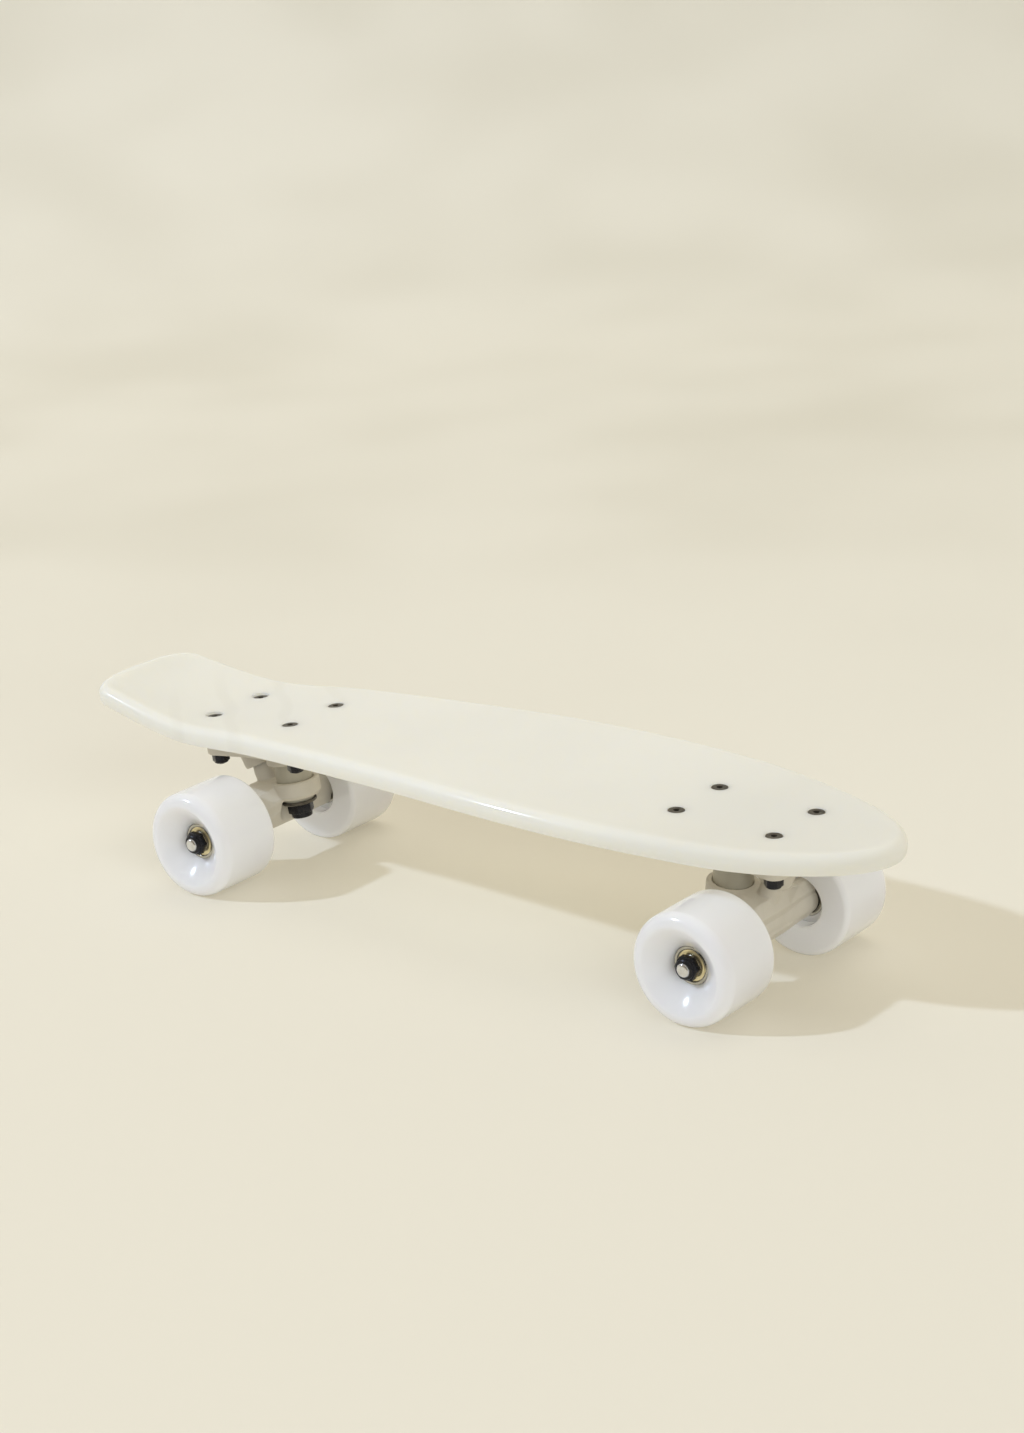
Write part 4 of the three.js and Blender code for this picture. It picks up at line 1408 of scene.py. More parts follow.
@dataclass
class Kingpin:
    """The clamped stack on the kingpin, about its own axis through the middle of the hanger's ring."""

    offset: float = 20.1
    height: float = 15.2
    lean: float = 5.0
    radius: float = 4.75
    head_flats: float = 14.0
    head_height: float = 6.0
    end_reach: float = 0.6
    cone_drop: float = 2.8
    cone_tip: float = 9.2
    bushing_radius: float = 11.3
    bore_play: float = 1.3
    bulge: float = 0.3
    seat_depth: float = 1.0
    ring_thickness: float = 11.0
    upper_seat: float = 3.0
    lower_seat: float = 4.0
    washer_radius: float = 11.0
    washer_thickness: float = 1.4
    washer_lip: float = 0.8
    washer_wall: float = 0.9
    boss_depth: float = 14.9

    @property
    def place(self) -> Matrix:
        """The matrix from the kingpin's axis to the truck's frame."""
        return leant(-self.offset, self.height, self.lean)

    def along(self, height: float) -> float:
        """Returns where the kingpin's axis meets a height in the truck's frame."""
        return (height - self.height) / math.cos(math.radians(self.lean))

    @property
    def boss_face(self) -> float:
        """The lower face of the baseplate's boss."""
        return self.along(STANCE.truck_height - self.boss_depth)

    @property
    def washer_top(self) -> float:
        """The top of the cup washer."""
        return -self.ring_thickness / 2 - self.cone_drop

    @property
    def nut_top(self) -> float:
        """The top of the kingpin nut."""
        return self.washer_top - self.washer_thickness

    @property
    def head_seat(self) -> float:
        """The underside of the kingpin's head, sunk in the baseplate's top."""
        sink = self.head_flats / 2 * math.tan(math.radians(self.lean)) + PLAY
        return self.along(STANCE.truck_height) - sink - self.head_height

    def bolt(self, name: str, low: float) -> Solid:
        """Makes the kingpin.

        Args:
            name: The piece's name.
            low: Its lower end.

        Returns:
            The piece about its own axis.
        """
        high, wide = self.head_seat + PLAY, self.radius
        pin = Solid.turned(name, rounded([
            (0.0, low + 0.1), (wide - 1.0, low), (wide, low + 1.0), (wide, high), (0.0, high),
        ], 0.3), SMALL_ROUND_STEPS)
        head = Solid.hexagon("head", self.head_flats, self.head_seat, self.head_seat + self.head_height)
        return pin.combined(Cut.JOIN, head).softened(0.25)

    def upper_bushing(self, name: str) -> Solid:
        """Makes the barrel between the baseplate's boss and the hanger's ring.

        Args:
            name: The piece's name.

        Returns:
            The piece about the kingpin's axis.
        """
        bore = self.radius + PLAY
        low = self.ring_thickness / 2 - self.upper_seat + PLAY
        high = self.boss_face + self.seat_depth - PLAY
        wall = [
            (self.bushing_radius - self.bulge * (2 * share - 1) ** 2, low + (high - low) * share)
            for share in shares(12)
        ]
        return Solid.hoop(name, [(bore + self.bore_play, low), *wall, (bore, high)], 0.7)

    def lower_bushing(self, name: str) -> Solid:
        """Makes the cone between the cup washer and the hanger's ring.

        Args:
            name: The piece's name.

        Returns:
            The piece about the kingpin's axis.
        """
        bore, low, ring = self.radius + PLAY, self.washer_top, -self.ring_thickness / 2
        high, wide, tip = ring + self.lower_seat - PLAY, self.bushing_radius - 2 * self.bulge, self.cone_tip
        wall = [(tip + (wide - tip) * share, low + (ring - low) * share) for share in shares(12)]
        return Solid.hoop(name, [(bore, low), *wall, (wide, high), (bore + self.bore_play, high)], 0.6)

    def washer(self, name: str) -> Solid:
        """Makes the cup washer.

        Args:
            name: The piece's name.

        Returns:
            The piece about the kingpin's axis.
        """
        bore, low, top, edge = self.radius + PLAY, self.nut_top, self.washer_top, self.washer_radius
        rim = top + self.washer_lip
        return Solid.hoop(name, [
            (bore, low), (edge - self.washer_lip, low), (edge, low + self.washer_lip), (edge, rim),
            (edge - self.washer_wall, rim), (self.cone_tip + PLAY, top), (bore, top),
        ], 0.35)


@dataclass(frozen=True)
class LockNut:
    """A hexagonal nut that hangs down from z = 0, with its round collar and nylon insert below."""

    flats: float
    hex_height: float
    height: float
    bore: float
    tip: float
    chamfer: float = 0.45
    collar_round: float = 0.5
    edge: float = 0.18
    edge_angle: float = 32.0

    def steel(self, name: str) -> Solid:
        """Makes the steel part.

        Args:
            name: The piece's name.

        Returns:
            The piece about its own axis.
        """
        corner = self.flats / 2 / math.cos(math.pi / 6) - self.flats / 2
        wide, low, end = self.flats / 2 - corner / 2, -self.hex_height, -self.height
        body = Solid.hexagon(name, self.flats, low, 0.0, self.chamfer)
        collar = Solid.turned("collar", rounded([
            (wide, low + corner), (wide, low - corner / 2 - 0.4), ((wide + self.tip) / 2 + 0.3, end + 0.35),
            (self.tip + 0.35, end),
        ], self.collar_round), SMALL_ROUND_STEPS)
        body.combined(Cut.JOIN, collar)
        body.combined(Cut.REMOVE, Solid.rod("bore", self.bore, end - 3, 3, BORE_STEPS))
        return body.softened(self.edge, self.edge_angle)

    def insert(self, name: str) -> Solid:
        """Returns the nylon ring in the nut's end."""
        section = block(self.bore - 0.25, self.tip + 0.2, 0.05 - self.height, 1.2 - self.height)
        return Solid.hoop(name, section, 0.2, 3, SMALL_ROUND_STEPS)


@dataclass
class Baseplate:
    """The cast baseplate, with its bushing boss and pivot housing, in the truck's frame."""

    plate: float = 7.0
    edge: float = 0.9
    boss_radius: float = 15.0
    boss_draft: float = 1.0
    boss_edge: float = 0.8
    rib_thickness: float = 6.0
    rib_depth: float = 6.0
    rib_foot_share: float = 0.9
    pivot_offset: float = 10.5
    pivot_height: float = 36.1
    pivot_lean: float = 20.3
    cup_radius: float = 7.7
    cup_depth: float = 9.0
    cup_top: float = 6.8
    housing: float = 10.0
    housing_edge: float = 1.0
    screw_hole: float = 2.8
    hole_steps: int = 32
    roof: Pair = (200.0, 60.0)
    kingpin: Kingpin = field(default_factory=Kingpin)

    @property
    def pivot(self) -> Matrix:
        """The matrix from the pivot's axis to the truck's frame."""
        return leant(self.pivot_offset, self.pivot_height, self.pivot_lean)

    def _body(self, name: str) -> Solid:
        """Makes the plate, boss, housing and rib, cut flat at the top.

        Args:
            name: The piece's name.

        Returns:
            The piece without its holes.
        """
        top, king = STANCE.truck_height, self.kingpin
        foot = top - self.plate
        levels = [(-self.edge, foot), (0.0, foot + self.edge), (0.0, top)]
        body = Solid.lofted(name, [[(x, y, z) for x, y in STANCE.plate(margin)] for margin, z in levels])
        face, wide = king.boss_face, self.boss_radius
        boss = Solid.turned("boss", [
            (wide - self.boss_edge, face), (wide, face + self.boss_edge),
            (wide + self.boss_draft, king.along(top) + CUT_OVERRUN),
        ], CASTING_STEPS).moved(king.place)
        end, wide, edge = -self.cup_depth, self.housing, self.housing_edge
        housing = Solid.turned("housing", [
            (wide - edge, end), (wide, end + edge), (wide + edge, self.cup_top + CUT_OVERRUN),
        ], CASTING_STEPS).moved(self.pivot)
        middle, reach = (self.pivot_offset - king.offset) / 2, (self.pivot_offset + king.offset) / 2
        half, low = self.rib_thickness / 2, foot - self.rib_depth
        rib = Solid.lofted("rib", [
            [(middle + sx * reach, sy * half * share, z) for sx, sy in SQUARE]
            for share, z in ((self.rib_foot_share, low), (1.0, foot), (1.0, top - 1))
        ])
        body.combined(Cut.JOIN, boss, housing, rib)
        wide, high = self.roof
        planes = [[(sx * wide, sy * wide, z) for sx, sy in SQUARE] for z in (top, top + high)]
        return body.combined(Cut.REMOVE, Solid.lofted("roof", planes))

    def solid(self, name: str) -> Solid:
        """Makes the baseplate.

        Args:
            name: The piece's name.

        Returns:
            The casting.
        """
        king, top = self.kingpin, STANCE.truck_height
        face, high, flats = king.boss_face, king.along(top) + 6, king.head_flats + 2 * PLAY
        cuts = [
            Solid.rod("kingpin_hole", king.radius + PLAY, face - CUT_OVERRUN, high).moved(king.place),
            Solid.hexagon("head_seat", flats, king.head_seat - PLAY, high).moved(king.place),
            Solid.rod(
                "bushing_seat", king.bushing_radius + 0.4, face - CUT_OVERRUN, face + king.seat_depth,
            ).moved(king.place),
            Solid.rod(
                "cup_seat", self.cup_radius + PLAY, -self.cup_depth - CUT_OVERRUN, self.cup_top + PLAY,
            ).moved(self.pivot),
        ]
        low = top - self.plate - CUT_OVERRUN
        for x, y in STANCE.screws:
            hole = Solid.rod("screw_hole", self.screw_hole, low, top + CUT_OVERRUN, self.hole_steps)
            cuts.append(hole.moved(Matrix.Translation((x, y, 0))))
        return self._body(name).combined(Cut.REMOVE, *cuts).cast()


@dataclass
class Hanger:
    """The cast hanger: faceted arms on the axle, the ring on the kingpin and the pivot's stem."""

    base: Baseplate
    half_width: float = 43.0
    root_half: float = 12.0
    end_start: float = 31.0
    end_stop: float = 41.8
    shoulder: float = 8.8
    shoulder_edge: float = 0.8
    root_size: Pair = (22.0, 20.0)
    end_size: Pair = (7.5, 13.0)
    root_shares: tuple[Pair, ...] = (
        (0.36, 0.9), (-0.18, 0.97), (-0.72, 0.97), (-1, 0.6), (-0.77, 0.2),
        (-0.36, -0.45), (0.27, -0.45), (0.41, -0.2), (0.32, 0.1), (0.45, 0.45),
    )
    end_shares: tuple[Pair, ...] = (
        (0.47, 0.98), (0, 1), (-0.53, 0.92), (-1.07, 0.61), (-1.2, 0.15),
        (-0.87, -0.69), (0.6, -0.69), (0.93, -0.35), (0.8, 0.12), (1, 0.58),
    )
    ring_radius: float = 14.8
    ring_chamfer: float = 2.3
    ring_edge: float = 0.6
    bore: float = 6.6
    neck: Point = (6.3, 13.0, 27.83)
    mouth: float = 5.6
    tip: float = 4.7
    axle_hole: float = 4.1
    hole_reach: float = 60.0
    relief: float = 13.2
    relief_depth: float = 14.0

    def _arms(self, name: str) -> Solid:
        """Makes the arms as one loft along the axle.

        Args:
            name: The piece's name.

        Returns:
            The arms.
        """
        root, tip = (self.root_shares, self.root_size), (self.end_shares, self.end_size)
        stations = [(self.root_half, root), (self.end_start, tip), (self.end_stop, tip)]
        stations = [(-y, section) for y, section in reversed(stations)] + stations
        return Solid.lofted(name, [
            [(x * size[0], y, z * size[1]) for x, z in corners] for y, (corners, size) in stations
        ])

    def solid(self, name: str) -> Solid:
        """Makes the hanger.

        Args:
            name: The piece's name.

        Returns:
            The casting.
        """
        king, half = self.base.kingpin, self.base.kingpin.ring_thickness / 2
        lay = Matrix.Rotation(RIGHT_ANGLE, 4, "X")
        body = self._arms(name)
        wide, edge, end = self.shoulder, self.shoulder_edge, self.half_width
        shoulder = Solid.turned("shoulder", [
            (wide - edge, -end), (wide, edge - end), (wide, end - edge), (wide - edge, end),
        ], CASTING_STEPS).moved(lay)
        wide, edge, bevel = self.ring_radius, self.ring_edge, self.ring_chamfer
        ring = Solid.turned("ring", [
            (wide - bevel, -half), (wide, bevel - half), (wide, half - edge), (wide - edge, half),
        ]).moved(king.place)
        radius, start, length = self.neck
        stem = Solid.turned("stem", [
            (radius, -length), (radius, -start), (self.mouth, -self.base.cup_depth),
            *arc((0, 0), self.tip, 0, 88, 10), (0.0, self.tip),
        ], SMALL_ROUND_STEPS).moved(self.base.pivot)
        body.combined(Cut.JOIN, shoulder, ring, stem)
        seat, nut = king.bushing_radius + PLAY, king.nut_top - self.relief_depth
        cuts = [
            Solid.rod(f"{part}_cut", cut_radius, low, high).moved(king.place)
            for part, cut_radius, low, high in (
                ("upper_seat", seat, half - king.upper_seat, king.boss_face),
                ("lower_seat", seat, -half - PLAY, -half + king.lower_seat),
                ("nut_relief", self.relief, nut, -half),
                ("ring_bore", self.bore, -2 * half, 2 * half),
            )
        ]
        cuts.append(Solid.rod("axle_hole", self.axle_hole, -self.hole_reach, self.hole_reach).moved(lay))
        return body.combined(Cut.REMOVE, *cuts).cast()


@dataclass
class Truck(Assembly):
    """One whole truck with the screws that hold it."""

    screw_radius: float = 2.5
    screw_head: float = 4.75
    screw_head_height: float = 2.7
    screw_recess: float = 0.1
    screw_reach: float = 6.8
    socket_flats: float = 3.3
    socket_depth: float = 1.9
    screw_seed: int = 3
    nut_seed: int = 7
    axle_radius: float = 3.95
    axle_end: float = 76.6
    axle_tip: tuple[Pair, ...] = ((0.0, 1.1), (0.45, 0.45), (0.9, 0.22), (1.6, 0.1), (2.6, 0.03))
    thread_turns: float = 1.6
    thread_length: float = 1.0
    thread_ridge: float = 0.22
    thread_start: float = 2.3
    kingpin_nut: LockNut = LockNut(14.3, 6.0, 9.0, 5.05, 5.6)
    deck_nut: LockNut = LockNut(9.4, 4.9, 6.1, 2.8, 3.4)
    base: Baseplate = field(default_factory=Baseplate)

    def _castings(self) -> None:
        """Makes the baseplate and the hanger."""
        plate = self.base.solid(f"{self.name}_baseplate_casting")
        self.seat(plate, Look.CASTING, "deck", ["baseplate"], crease=CAST_CREASE)
        hanger = Hanger(self.base).solid(f"{self.name}_hanger_casting")
        self.seat(hanger, Look.CASTING, self.hanger, ["hanger"], crease=CAST_CREASE)

    def _kingpin_stack(self) -> None:
        """Makes the kingpin, its washer, its nut and the bushings that bend between deck and hanger."""
        king, nut, name = self.base.kingpin, self.kingpin_nut, self.name
        bolt = king.bolt(f"{name}_kingpin_bolt", king.nut_top - nut.height - king.end_reach)
        self.seat(bolt, Look.OXIDE, "deck", ["kingpin"], king.place)
        half = king.ring_thickness / 2
        for bushing, heights, node in (
            (king.upper_bushing(f"{name}_upper_bushing"), (king.boss_face, half), "boardside"),
            (king.lower_bushing(f"{name}_lower_bushing"), (king.washer_top, -half), "roadside"),
        ):
            place, bodies = self.stand @ king.place, ("deck", self.hanger)
            bushing.bridged(self.finishes[Look.BUSHING], place, bodies, heights, f"{name}_{node}_bushing")
        self.seat(king.washer(f"{name}_cup_washer"), Look.OXIDE, "deck", ["kingpin_washer"], king.place)
        place = king.place @ up(king.nut_top)
        self.seat(nut.steel(f"{name}_kingpin_lock_nut"), Look.BLACK, "deck", ["kingpin_nut"], place)
        self.seat(nut.insert(f"{name}_kingpin_nylon"), Look.NYLON, "deck", [], place)

    def _screw(self, low: float) -> Solid:
        """Makes one deck screw.

        Args:
            low: Its lower end.

        Returns:
            The screw about its own axis.
        """
        radius, head, top = self.screw_radius, self.screw_head, STANCE.deck_top - self.screw_recess
        screw = Solid.turned("screw", [
            (0.0, low), (radius - 0.5, low), (radius, low + 0.5), (radius, top - self.screw_head_height),
            (head - 0.1, top - 0.35), (head, top - 0.2), (head - 0.12, top - 0.03), (head - 0.35, top),
            (0.0, top),
        ], BORE_STEPS)
        key = Solid.hexagon("key", self.socket_flats, top - self.socket_depth, top + 3)
        return screw.combined(Cut.REMOVE, key).softened(0.12, 50)

    def _fasteners(self, pattern: BoltPattern) -> None:
        """Makes the screws and lock nuts of the mounting pattern.

        Args:
            pattern: The rule that repeats them.
        """
        under = STANCE.truck_height - self.base.plate
        screw, nut = self._screw(under - self.screw_reach), self.deck_nut.steel("nut").moved(up(under))
        sizes = {"Along": STANCE.bolt_along, "Across": STANCE.bolt_across, "Offset": -STANCE.pattern_offset}
        for kind, shape, look, seed in (
            ("screw", screw, Look.OXIDE, self.screw_seed),
            ("nut", nut, Look.BLACK, self.nut_seed),
        ):
            finish, name = self.finishes[look].material, f"{self.name}_deck_{kind}s"
            made = pattern.run(name, Seed=seed, Fastener=shape.piece, Finish=finish, **sizes)
            shape.discard()
            self.seat(made, look, "deck", [f"deck_{kind}_{i}" for i in (1, 2, 3, 4)])

    def _axle(self, ridge: ThreadRidge) -> None:
        """Makes the axle with the thread at its two ends.

        Args:
            ridge: The rule that winds the thread.
        """
        end, radius, zinc = self.axle_end, self.axle_radius, self.finishes[Look.ZINC]
        half = [(radius - inset, end - drop) for inset, drop in self.axle_tip] + [(0.0, end)]
        profile = [(r, -z) for r, z in reversed(half)] + half
        bar = Solid.turned(f"{self.name}_axle_bar", profile, CASTING_STEPS)
        bar.seated(zinc, STANCE.axle(self.end, Side.LEFT), self.hanger, [f"{self.name}_axle"])
        for side in Side:
            thread = ridge.run(
                f"{self.name}_{side.value}_axle_thread", Finish=zinc.material, Turns=self.thread_turns,
                Radius=radius - 0.1, Length=self.thread_length, Ridge=self.thread_ridge,
                Start=(0.0, 0.0, end - self.thread_start),
            )
            thread.seated(zinc, STANCE.axle(self.end, side), self.hanger)

    def build(self, pattern: BoltPattern, ridge: ThreadRidge) -> None:
        """Makes every piece of the truck.

        Args:
            pattern: The rule that repeats its fasteners.
            ridge: The rule that winds its threads.
        """
        self._castings()
        self._kingpin_stack()
        self._fasteners(pattern)
        self._axle(ridge)
        paint_node(f"{self.name}_pivot_cup", self.finishes[Look.NYLON])


# Wheels


@dataclass
class WheelSet(Assembly):
    """One wheel with its bearings and what holds it on the axle, outward end up."""

    side: Side
    radius: float = 32.54
    width: float = 44.4
    inner_face: float = 35.3
    outer_round: float = 6.9
    inner_round: float = 3.2
    recess_radius: float = 14.9
    recess_edge: float = 0.7
    recess_fillet: float = 0.6
    ledge: float = 9.0
    bearing_seat: float = 11.3
    mouth_depth: float = 11.0
    mouth_edge: float = 0.25
    mouth_lip: Pair = (0.18, 0.02)
    dish_round: float = 2.0
    dish_round_drop: float = 0.7
    dish_swell: float = 0.7
    dish_shares: tuple[float, ...] = (
        0.97, 0.9, 0.82, 0.74, 0.66, 0.58, 0.5, 0.42, 0.34, 0.26, 0.18, 0.12, 0.06,
    )
    crown: float = 0.12
    inner_steps: int = 12
    tread_steps: int = 24
    outer_steps: int = 22
    dish_steps: int = 10
    sweep_path: float = 22.0
    sweep_steps: int = 160
    crease: float = 40.0
    inner_bearing: float = 43.3
    outer_bearing: float = 60.9
    bearing_width: float = 7.0
    outer_race: Pair = (9.3, 11.0)
    inner_race: Pair = (4.25, 6.1)
    shield_sink: float = 0.45
    shield_section: tuple[Pair, ...] = (
        (6.25, 0.5), (6.25, 0.15), (6.6, 0.0), (7.4, 0.0), (7.9, 0.3), (8.9, 0.3), (9.3, 0.55), (9.3, 1.2),
        (6.25, 1.2),
    )
    clip_path: float = 9.05
    clip_wire: float = 0.2
    clip_gap: float = 14.0
    clip_sink: float = 0.12
    clip_steps: int = 72
    clip_sides: int = 8
    washer_start: float = 68.2
    washer_size: Pair = (4.25, 6.0)
    nut_start: float = 69.2
    axle_nut: LockNut = LockNut(12.7, 4.2, 6.0, 4.25, 4.5)

    @property
    def name(self) -> str:
        """The start of its pieces' names."""
        return f"{self.end.value}_{self.side.value}"

    @property
    def body(self) -> str:
        """The body that spins on the axle."""
        return f"{self.name}_wheel"

    @property
    def stand(self) -> Matrix:
        """The matrix from its own frame to the board's, in millimetres."""
        return STANCE.axle(self.end, self.side)

    def _dish(self, outer: float) -> Profile:
        """Draws the outward face from its rounded edge down to the bearing's mouth.

        Args:
            outer: The face's place along the axle.

        Returns:
            The points, as radius and distance along the axle.
        """
        crest, seat, mouth = self.radius - self.outer_round, self.bearing_seat, outer - self.mouth_depth
        foot = Vector((seat, mouth))
        slope = Vector((crest - self.dish_round - seat, self.mouth_depth - self.dish_round_drop))
        swell = Vector((-slope.y, slope.x)).normalized() * self.dish_swell * 4
        start, way = foot + slope, slope - swell
        corner = start + way * ((outer - start.y) / way.y)
        points = bow((crest, outer), corner, start, self.dish_steps)[1:]
        points += [tuple(foot + slope * share + swell * share * (1 - share)) for share in self.dish_shares]
        lip_out, lip_up = self.mouth_lip
        return points + [(seat + lip_out, mouth + lip_up), (seat, mouth - self.mouth_edge)]

    def _section(self) -> Profile:
        """Draws the wheel's closed section.

        Returns:
            Its points, as radius and distance along the axle.
        """
        outer, seat, recess = self.inner_face + self.width, self.bearing_seat, self.recess_radius
        low, high = self.inner_face + self.inner_round, outer - self.outer_round
        points: Profile = [(recess + self.recess_edge, self.inner_face)]
        points += arc((self.radius - self.inner_round, low), self.inner_round, -90, 0, self.inner_steps)
        for share in shares(self.tread_steps)[1:-1]:
            points.append((self.radius + self.crown * 4 * share * (1 - share), low + (high - low) * share))
        points += arc((self.radius - self.outer_round, high), self.outer_round, 0, 90, self.outer_steps)
        points += self._dish(outer)
        inner_end, outer_start = self.inner_bearing + self.bearing_width + PLAY, self.outer_bearing - PLAY
        points += [(seat, outer_start), (self.ledge, outer_start), (self.ledge, inner_end), (seat, inner_end)]
        start, fillet = self.inner_bearing, self.recess_fillet
        points += [(seat, start), (recess - fillet, start), (recess, start + fillet)]
        return points + [(recess, self.inner_face + self.recess_edge)]

    def _wheel(self, rule: TurnedRule) -> None:
        """Makes the urethane.

        Args:
            rule: The rule that turns its section.
        """
        curve = bpy.data.curves.new("section", "CURVE")
        curve.dimensions = "3D"
        section = self._section()
        spline = curve.splines.new("POLY")
        spline.points.add(len(section) - 1)
        for point, (radius, height) in zip(spline.points, section):
            point.co = (radius - self.sweep_path, -height, 0.0, 1.0)
        spline.use_cyclic_u = True
        carrier = bpy.data.objects.new("section", curve)
        bpy.context.scene.collection.objects.link(carrier)
        wheel = rule.run(
            f"{self.name}_urethane", Steps=self.sweep_steps, Path=self.sweep_path, Section=carrier,
            Finish=self.finishes[Look.URETHANE].material,
        )
        bpy.data.objects.remove(carrier)
        wheel.face_outwards()
        self.seat(wheel, Look.URETHANE, self.body, ["wheel"], crease=self.crease)

    def _bearing(self, kind: str, start: float, outwards: bool) -> None:
        """Makes one bearing: its races, and the shield and clip between them on the side that shows.

        Args:
            kind: Which of the two bearings it is.
            start: Its lower face along the axle.
            outwards: Whether its upper side is the one that shows.
        """
        stop = start + self.bearing_width
        for (bore, edge), nodes in ((self.outer_race, [f"{kind}_bearing"]), (self.inner_race, [])):
            race = Solid.hoop(f"{self.name}_{kind}_race_{int(edge)}", block(bore, edge, start, stop), 0.4)
            self.seat(race, Look.RACE, self.body, nodes)
        shown, inward = (stop, -1.0) if outwards else (start, 1.0)
        face = shown + inward * self.shield_sink
        section = [(radius, face + inward * depth) for radius, depth in self.shield_section]
        shield = Solid.hoop(f"{self.name}_{kind}_shield", section, 0.15, 3)
        # The inner bearing's shield takes the dark finish that paints the shade of the wheel's recess.
        self.seat(shield, Look.SHIELD if outwards else Look.INNER_SHIELD, self.body)
        self._clip(kind, face + inward * self.clip_sink)

    def _clip(self, kind: str, height: float) -> None:
        """Makes the open wire clip that holds a shield.

        Args:
            kind: Which of the two bearings it is in.
            height: Its place along the axle.
        """
        wire, rings = self.clip_wire, []
        turns = [math.tau * turn for turn in shares(self.clip_sides)[:-1]]
        for share in shares(self.clip_steps):
            angle = math.radians(self.clip_gap + (360 - 2 * self.clip_gap) * share)
            out = Vector((math.cos(angle), math.sin(angle), 0))
            middle = out * self.clip_path + Vector((0, 0, height))
            ring = [middle + out * wire * math.cos(a) + Vector((0, 0, wire * math.sin(a))) for a in turns]
            rings.append([tuple(point) for point in ring])
        self.seat(Solid.lofted(f"{self.name}_{kind}_clip", rings), Look.RACE, self.body)

    def _axle_end(self) -> None:
        """Makes the speed washer and lock nut on the axle's end."""
        section = block(*self.washer_size, self.washer_start, self.nut_start)
        washer = Solid.hoop(f"{self.name}_thin_washer", section, 0.2, 3, CASTING_STEPS)
        self.seat(washer, Look.ZINC, self.hanger, ["speed_washer"])
        flip = up(self.nut_start) @ Matrix.Rotation(math.pi, 4, "X")
        nut = self.axle_nut.steel(f"{self.name}_lock_nut")
        insert = self.axle_nut.insert(f"{self.name}_nut_nylon")
        self.seat(nut.moved(flip), Look.BLACK, self.hanger, ["axle_nut"])
        self.seat(insert.moved(flip), Look.NYLON, self.hanger)

    def build(self, rule: TurnedRule) -> None:
        """Makes every piece of the wheel.

        Args:
            rule: The rule that turns its section.
        """
        self._wheel(rule)
        self._bearing("outer", self.outer_bearing, True)
        self._bearing("inner", self.inner_bearing, False)
        paint_node(f"{self.name}_bearing_spacer", self.finishes[Look.ZINC])
        self._axle_end()


# Studio


@dataclass(frozen=True)
class Lamp:
    """A distant lamp: strength, width in degrees, colour, way, and whether it shades or shows in gloss."""

    name: str
    strength: float
    width: float
    color: Point
    direction: Point
    shadow: bool = True
    glint: bool = False

    def hang(self) -> None:
        """Puts the lamp in the scene."""
        data = bpy.data.lights.new(self.name, "SUN")
        data.energy, data.angle, data.color = self.strength, math.radians(self.width), self.color
        data.use_shadow = self.shadow
        lamp = bpy.data.objects.new(self.name, data)
        lamp.visible_glossy = self.glint
        lamp.rotation_mode = "QUATERNION"
        lamp.rotation_quaternion = Vector(self.direction).to_track_quat("-Z", "Y")
        bpy.context.scene.collection.objects.link(lamp)


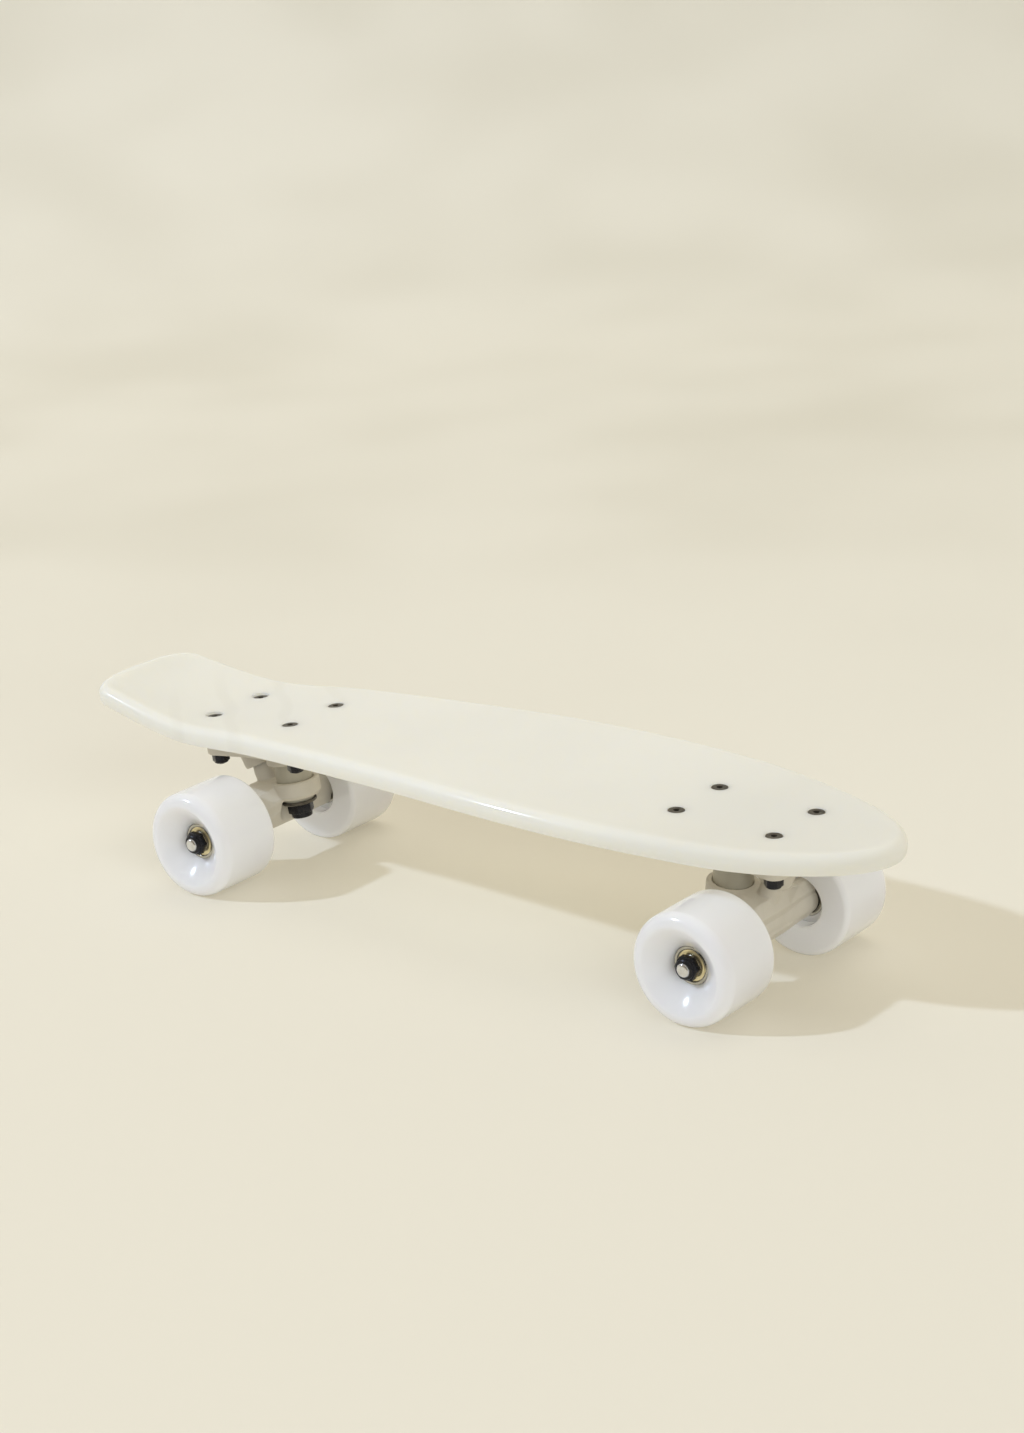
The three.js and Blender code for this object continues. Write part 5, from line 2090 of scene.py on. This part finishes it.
@dataclass
class Studio:
    """The pale sweep, the lights and the camera."""

    camera_place: Point = (1.046047, -1.233329, 0.661626)
    yaw: float = 0.691
    pitch: float = 0.324
    roll: float = -0.0600
    lens: float = 74.197
    sensor: float = 36.0
    clip: Pair = (0.05, 60.0)
    floor_near: float = -40.0
    floor_middle: float = -2.0
    floor_far: float = 1.6
    wall_bend: float = 1.4
    bend_steps: int = 24
    wall_top: float = 7.0
    half_span: float = 40.0
    ambient: float = 0.33
    ambient_color: Point = (1.0, 0.88, 0.68)
    key: Lamp = Lamp("key", 1.27, 2.5, (0.67, 0.79, 1.0), (0.62, 0.55, -0.62), glint=True)
    lift: Lamp = Lamp("lift", 0.84, 50.0, (1.0, 0.96, 0.83), (0.0, -0.35, -0.94), shadow=False)
    down: Lamp = Lamp("down", 0.38, 50.0, (0.96, 0.985, 0.98), (0.0, -0.25, -0.97))
    front: Lamp = Lamp("front", 1.15, 45.0, (0.83, 0.915, 1.0), (-0.78, 0.5, -0.3))

    def camera(self) -> None:
        """Stands the camera where the photograph was taken from."""
        yaw, pitch, roll = self.yaw, self.pitch, self.roll
        ahead = Vector((-math.sin(yaw) * math.cos(pitch), math.cos(yaw) * math.cos(pitch), -math.sin(pitch)))
        right = Vector((math.cos(yaw), math.sin(yaw), 0.0))
        up_level = right.cross(ahead)
        right_rolled = right * math.cos(roll) + up_level * math.sin(roll)
        up_rolled = up_level * math.cos(roll) - right * math.sin(roll)
        data = bpy.data.cameras.new("camera")
        data.lens, data.sensor_width, data.sensor_fit = self.lens, self.sensor, "AUTO"
        data.clip_start, data.clip_end = self.clip
        eye = bpy.data.objects.new("camera", data)
        turn = Matrix((right_rolled, up_rolled, -ahead)).transposed().to_4x4()
        eye.matrix_world = Matrix.Translation(self.camera_place) @ turn
        bpy.context.scene.collection.objects.link(eye)
        bpy.context.scene.camera = eye

    def sweep(self) -> None:
        """Makes the floor and the wall behind it as one curved sheet."""
        far, bend = self.floor_far, self.wall_bend
        profile = [(self.floor_near, 0.0), (self.floor_middle, 0.0)]
        profile += [*arc((far, bend), bend, -90, 0, self.bend_steps), (far + bend, self.wall_top)]
        turn = Matrix.Rotation(self.yaw, 3, "Z")
        points = []
        for along, height in profile:
            for across in (-self.half_span, self.half_span):
                place = turn @ Vector((across, along, 0.0))
                points.append((place.x, place.y, height))
        faces = [(i, i + 1, i + 3, i + 2) for i in range(0, len(points) - 2, 2)]
        mesh = bpy.data.meshes.new("sweep")
        mesh.from_pydata(points, [], faces)
        mesh.shade_smooth()
        mesh.materials.append(Backdrop().make())
        sheet = bpy.data.objects.new("sweep", mesh)
        bpy.context.scene.collection.objects.link(sheet)
        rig.stage(sheet)

    def light(self) -> None:
        """Sets a pale warm surround, a clear key, and soft light from above and from the nose's side."""
        scene = bpy.context.scene
        world = bpy.data.worlds.new("surround")
        world.use_nodes = True
        sky = world.node_tree.nodes["Background"]
        sky.inputs["Color"].default_value = (*self.ambient_color, 1.0)
        sky.inputs["Strength"].default_value = self.ambient
        scene.world = world
        for lamp in (self.key, self.lift, self.down, self.front):
            lamp.hang()
        scene.view_settings.view_transform = "Standard"

    def clear_deck(self) -> None:
        """Lets the down lamp's light past the deck, so that only trucks and wheels shade what is under it."""
        blockers = bpy.data.collections.new("down_blockers")
        for thing in bpy.data.objects:
            if thing.type == "MESH" and not thing.name.startswith(("deck", "sweep")):
                blockers.objects.link(thing)
        bpy.data.objects[self.down.name].light_linking.blocker_collection = blockers

    def build(self) -> None:
        """Makes the whole studio."""
        self.camera()
        self.sweep()
        self.light()


def box_sizes() -> list[list[float]]:
    """Returns the shown object's lowest and highest corner as plain lists."""
    return [list(corner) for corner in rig.bounds()]


def main() -> None:
    """Builds the scene in order and reports the pieces."""
    logging.basicConfig(level=logging.INFO, format="%(name)s: %(message)s")
    packed = box_sizes()
    studio = Studio()
    studio.build()
    finishes = {look: look.value.make() for look in Look}
    Deck().build()
    pattern, ridge, turned = BoltPattern(), ThreadRidge(), TurnedRule()
    for end in End:
        Truck(end, finishes).build(pattern, ridge)
        for side in Side:
            WheelSet(end, finishes, side).build(turned)
    studio.clear_deck()
    with open("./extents.json", "w", encoding="utf-8") as handle:
        json.dump({"cad": packed, "visual": box_sizes()}, handle)
    LOG.info("packed box %s", packed)


if __name__ == "__main__":
    main()
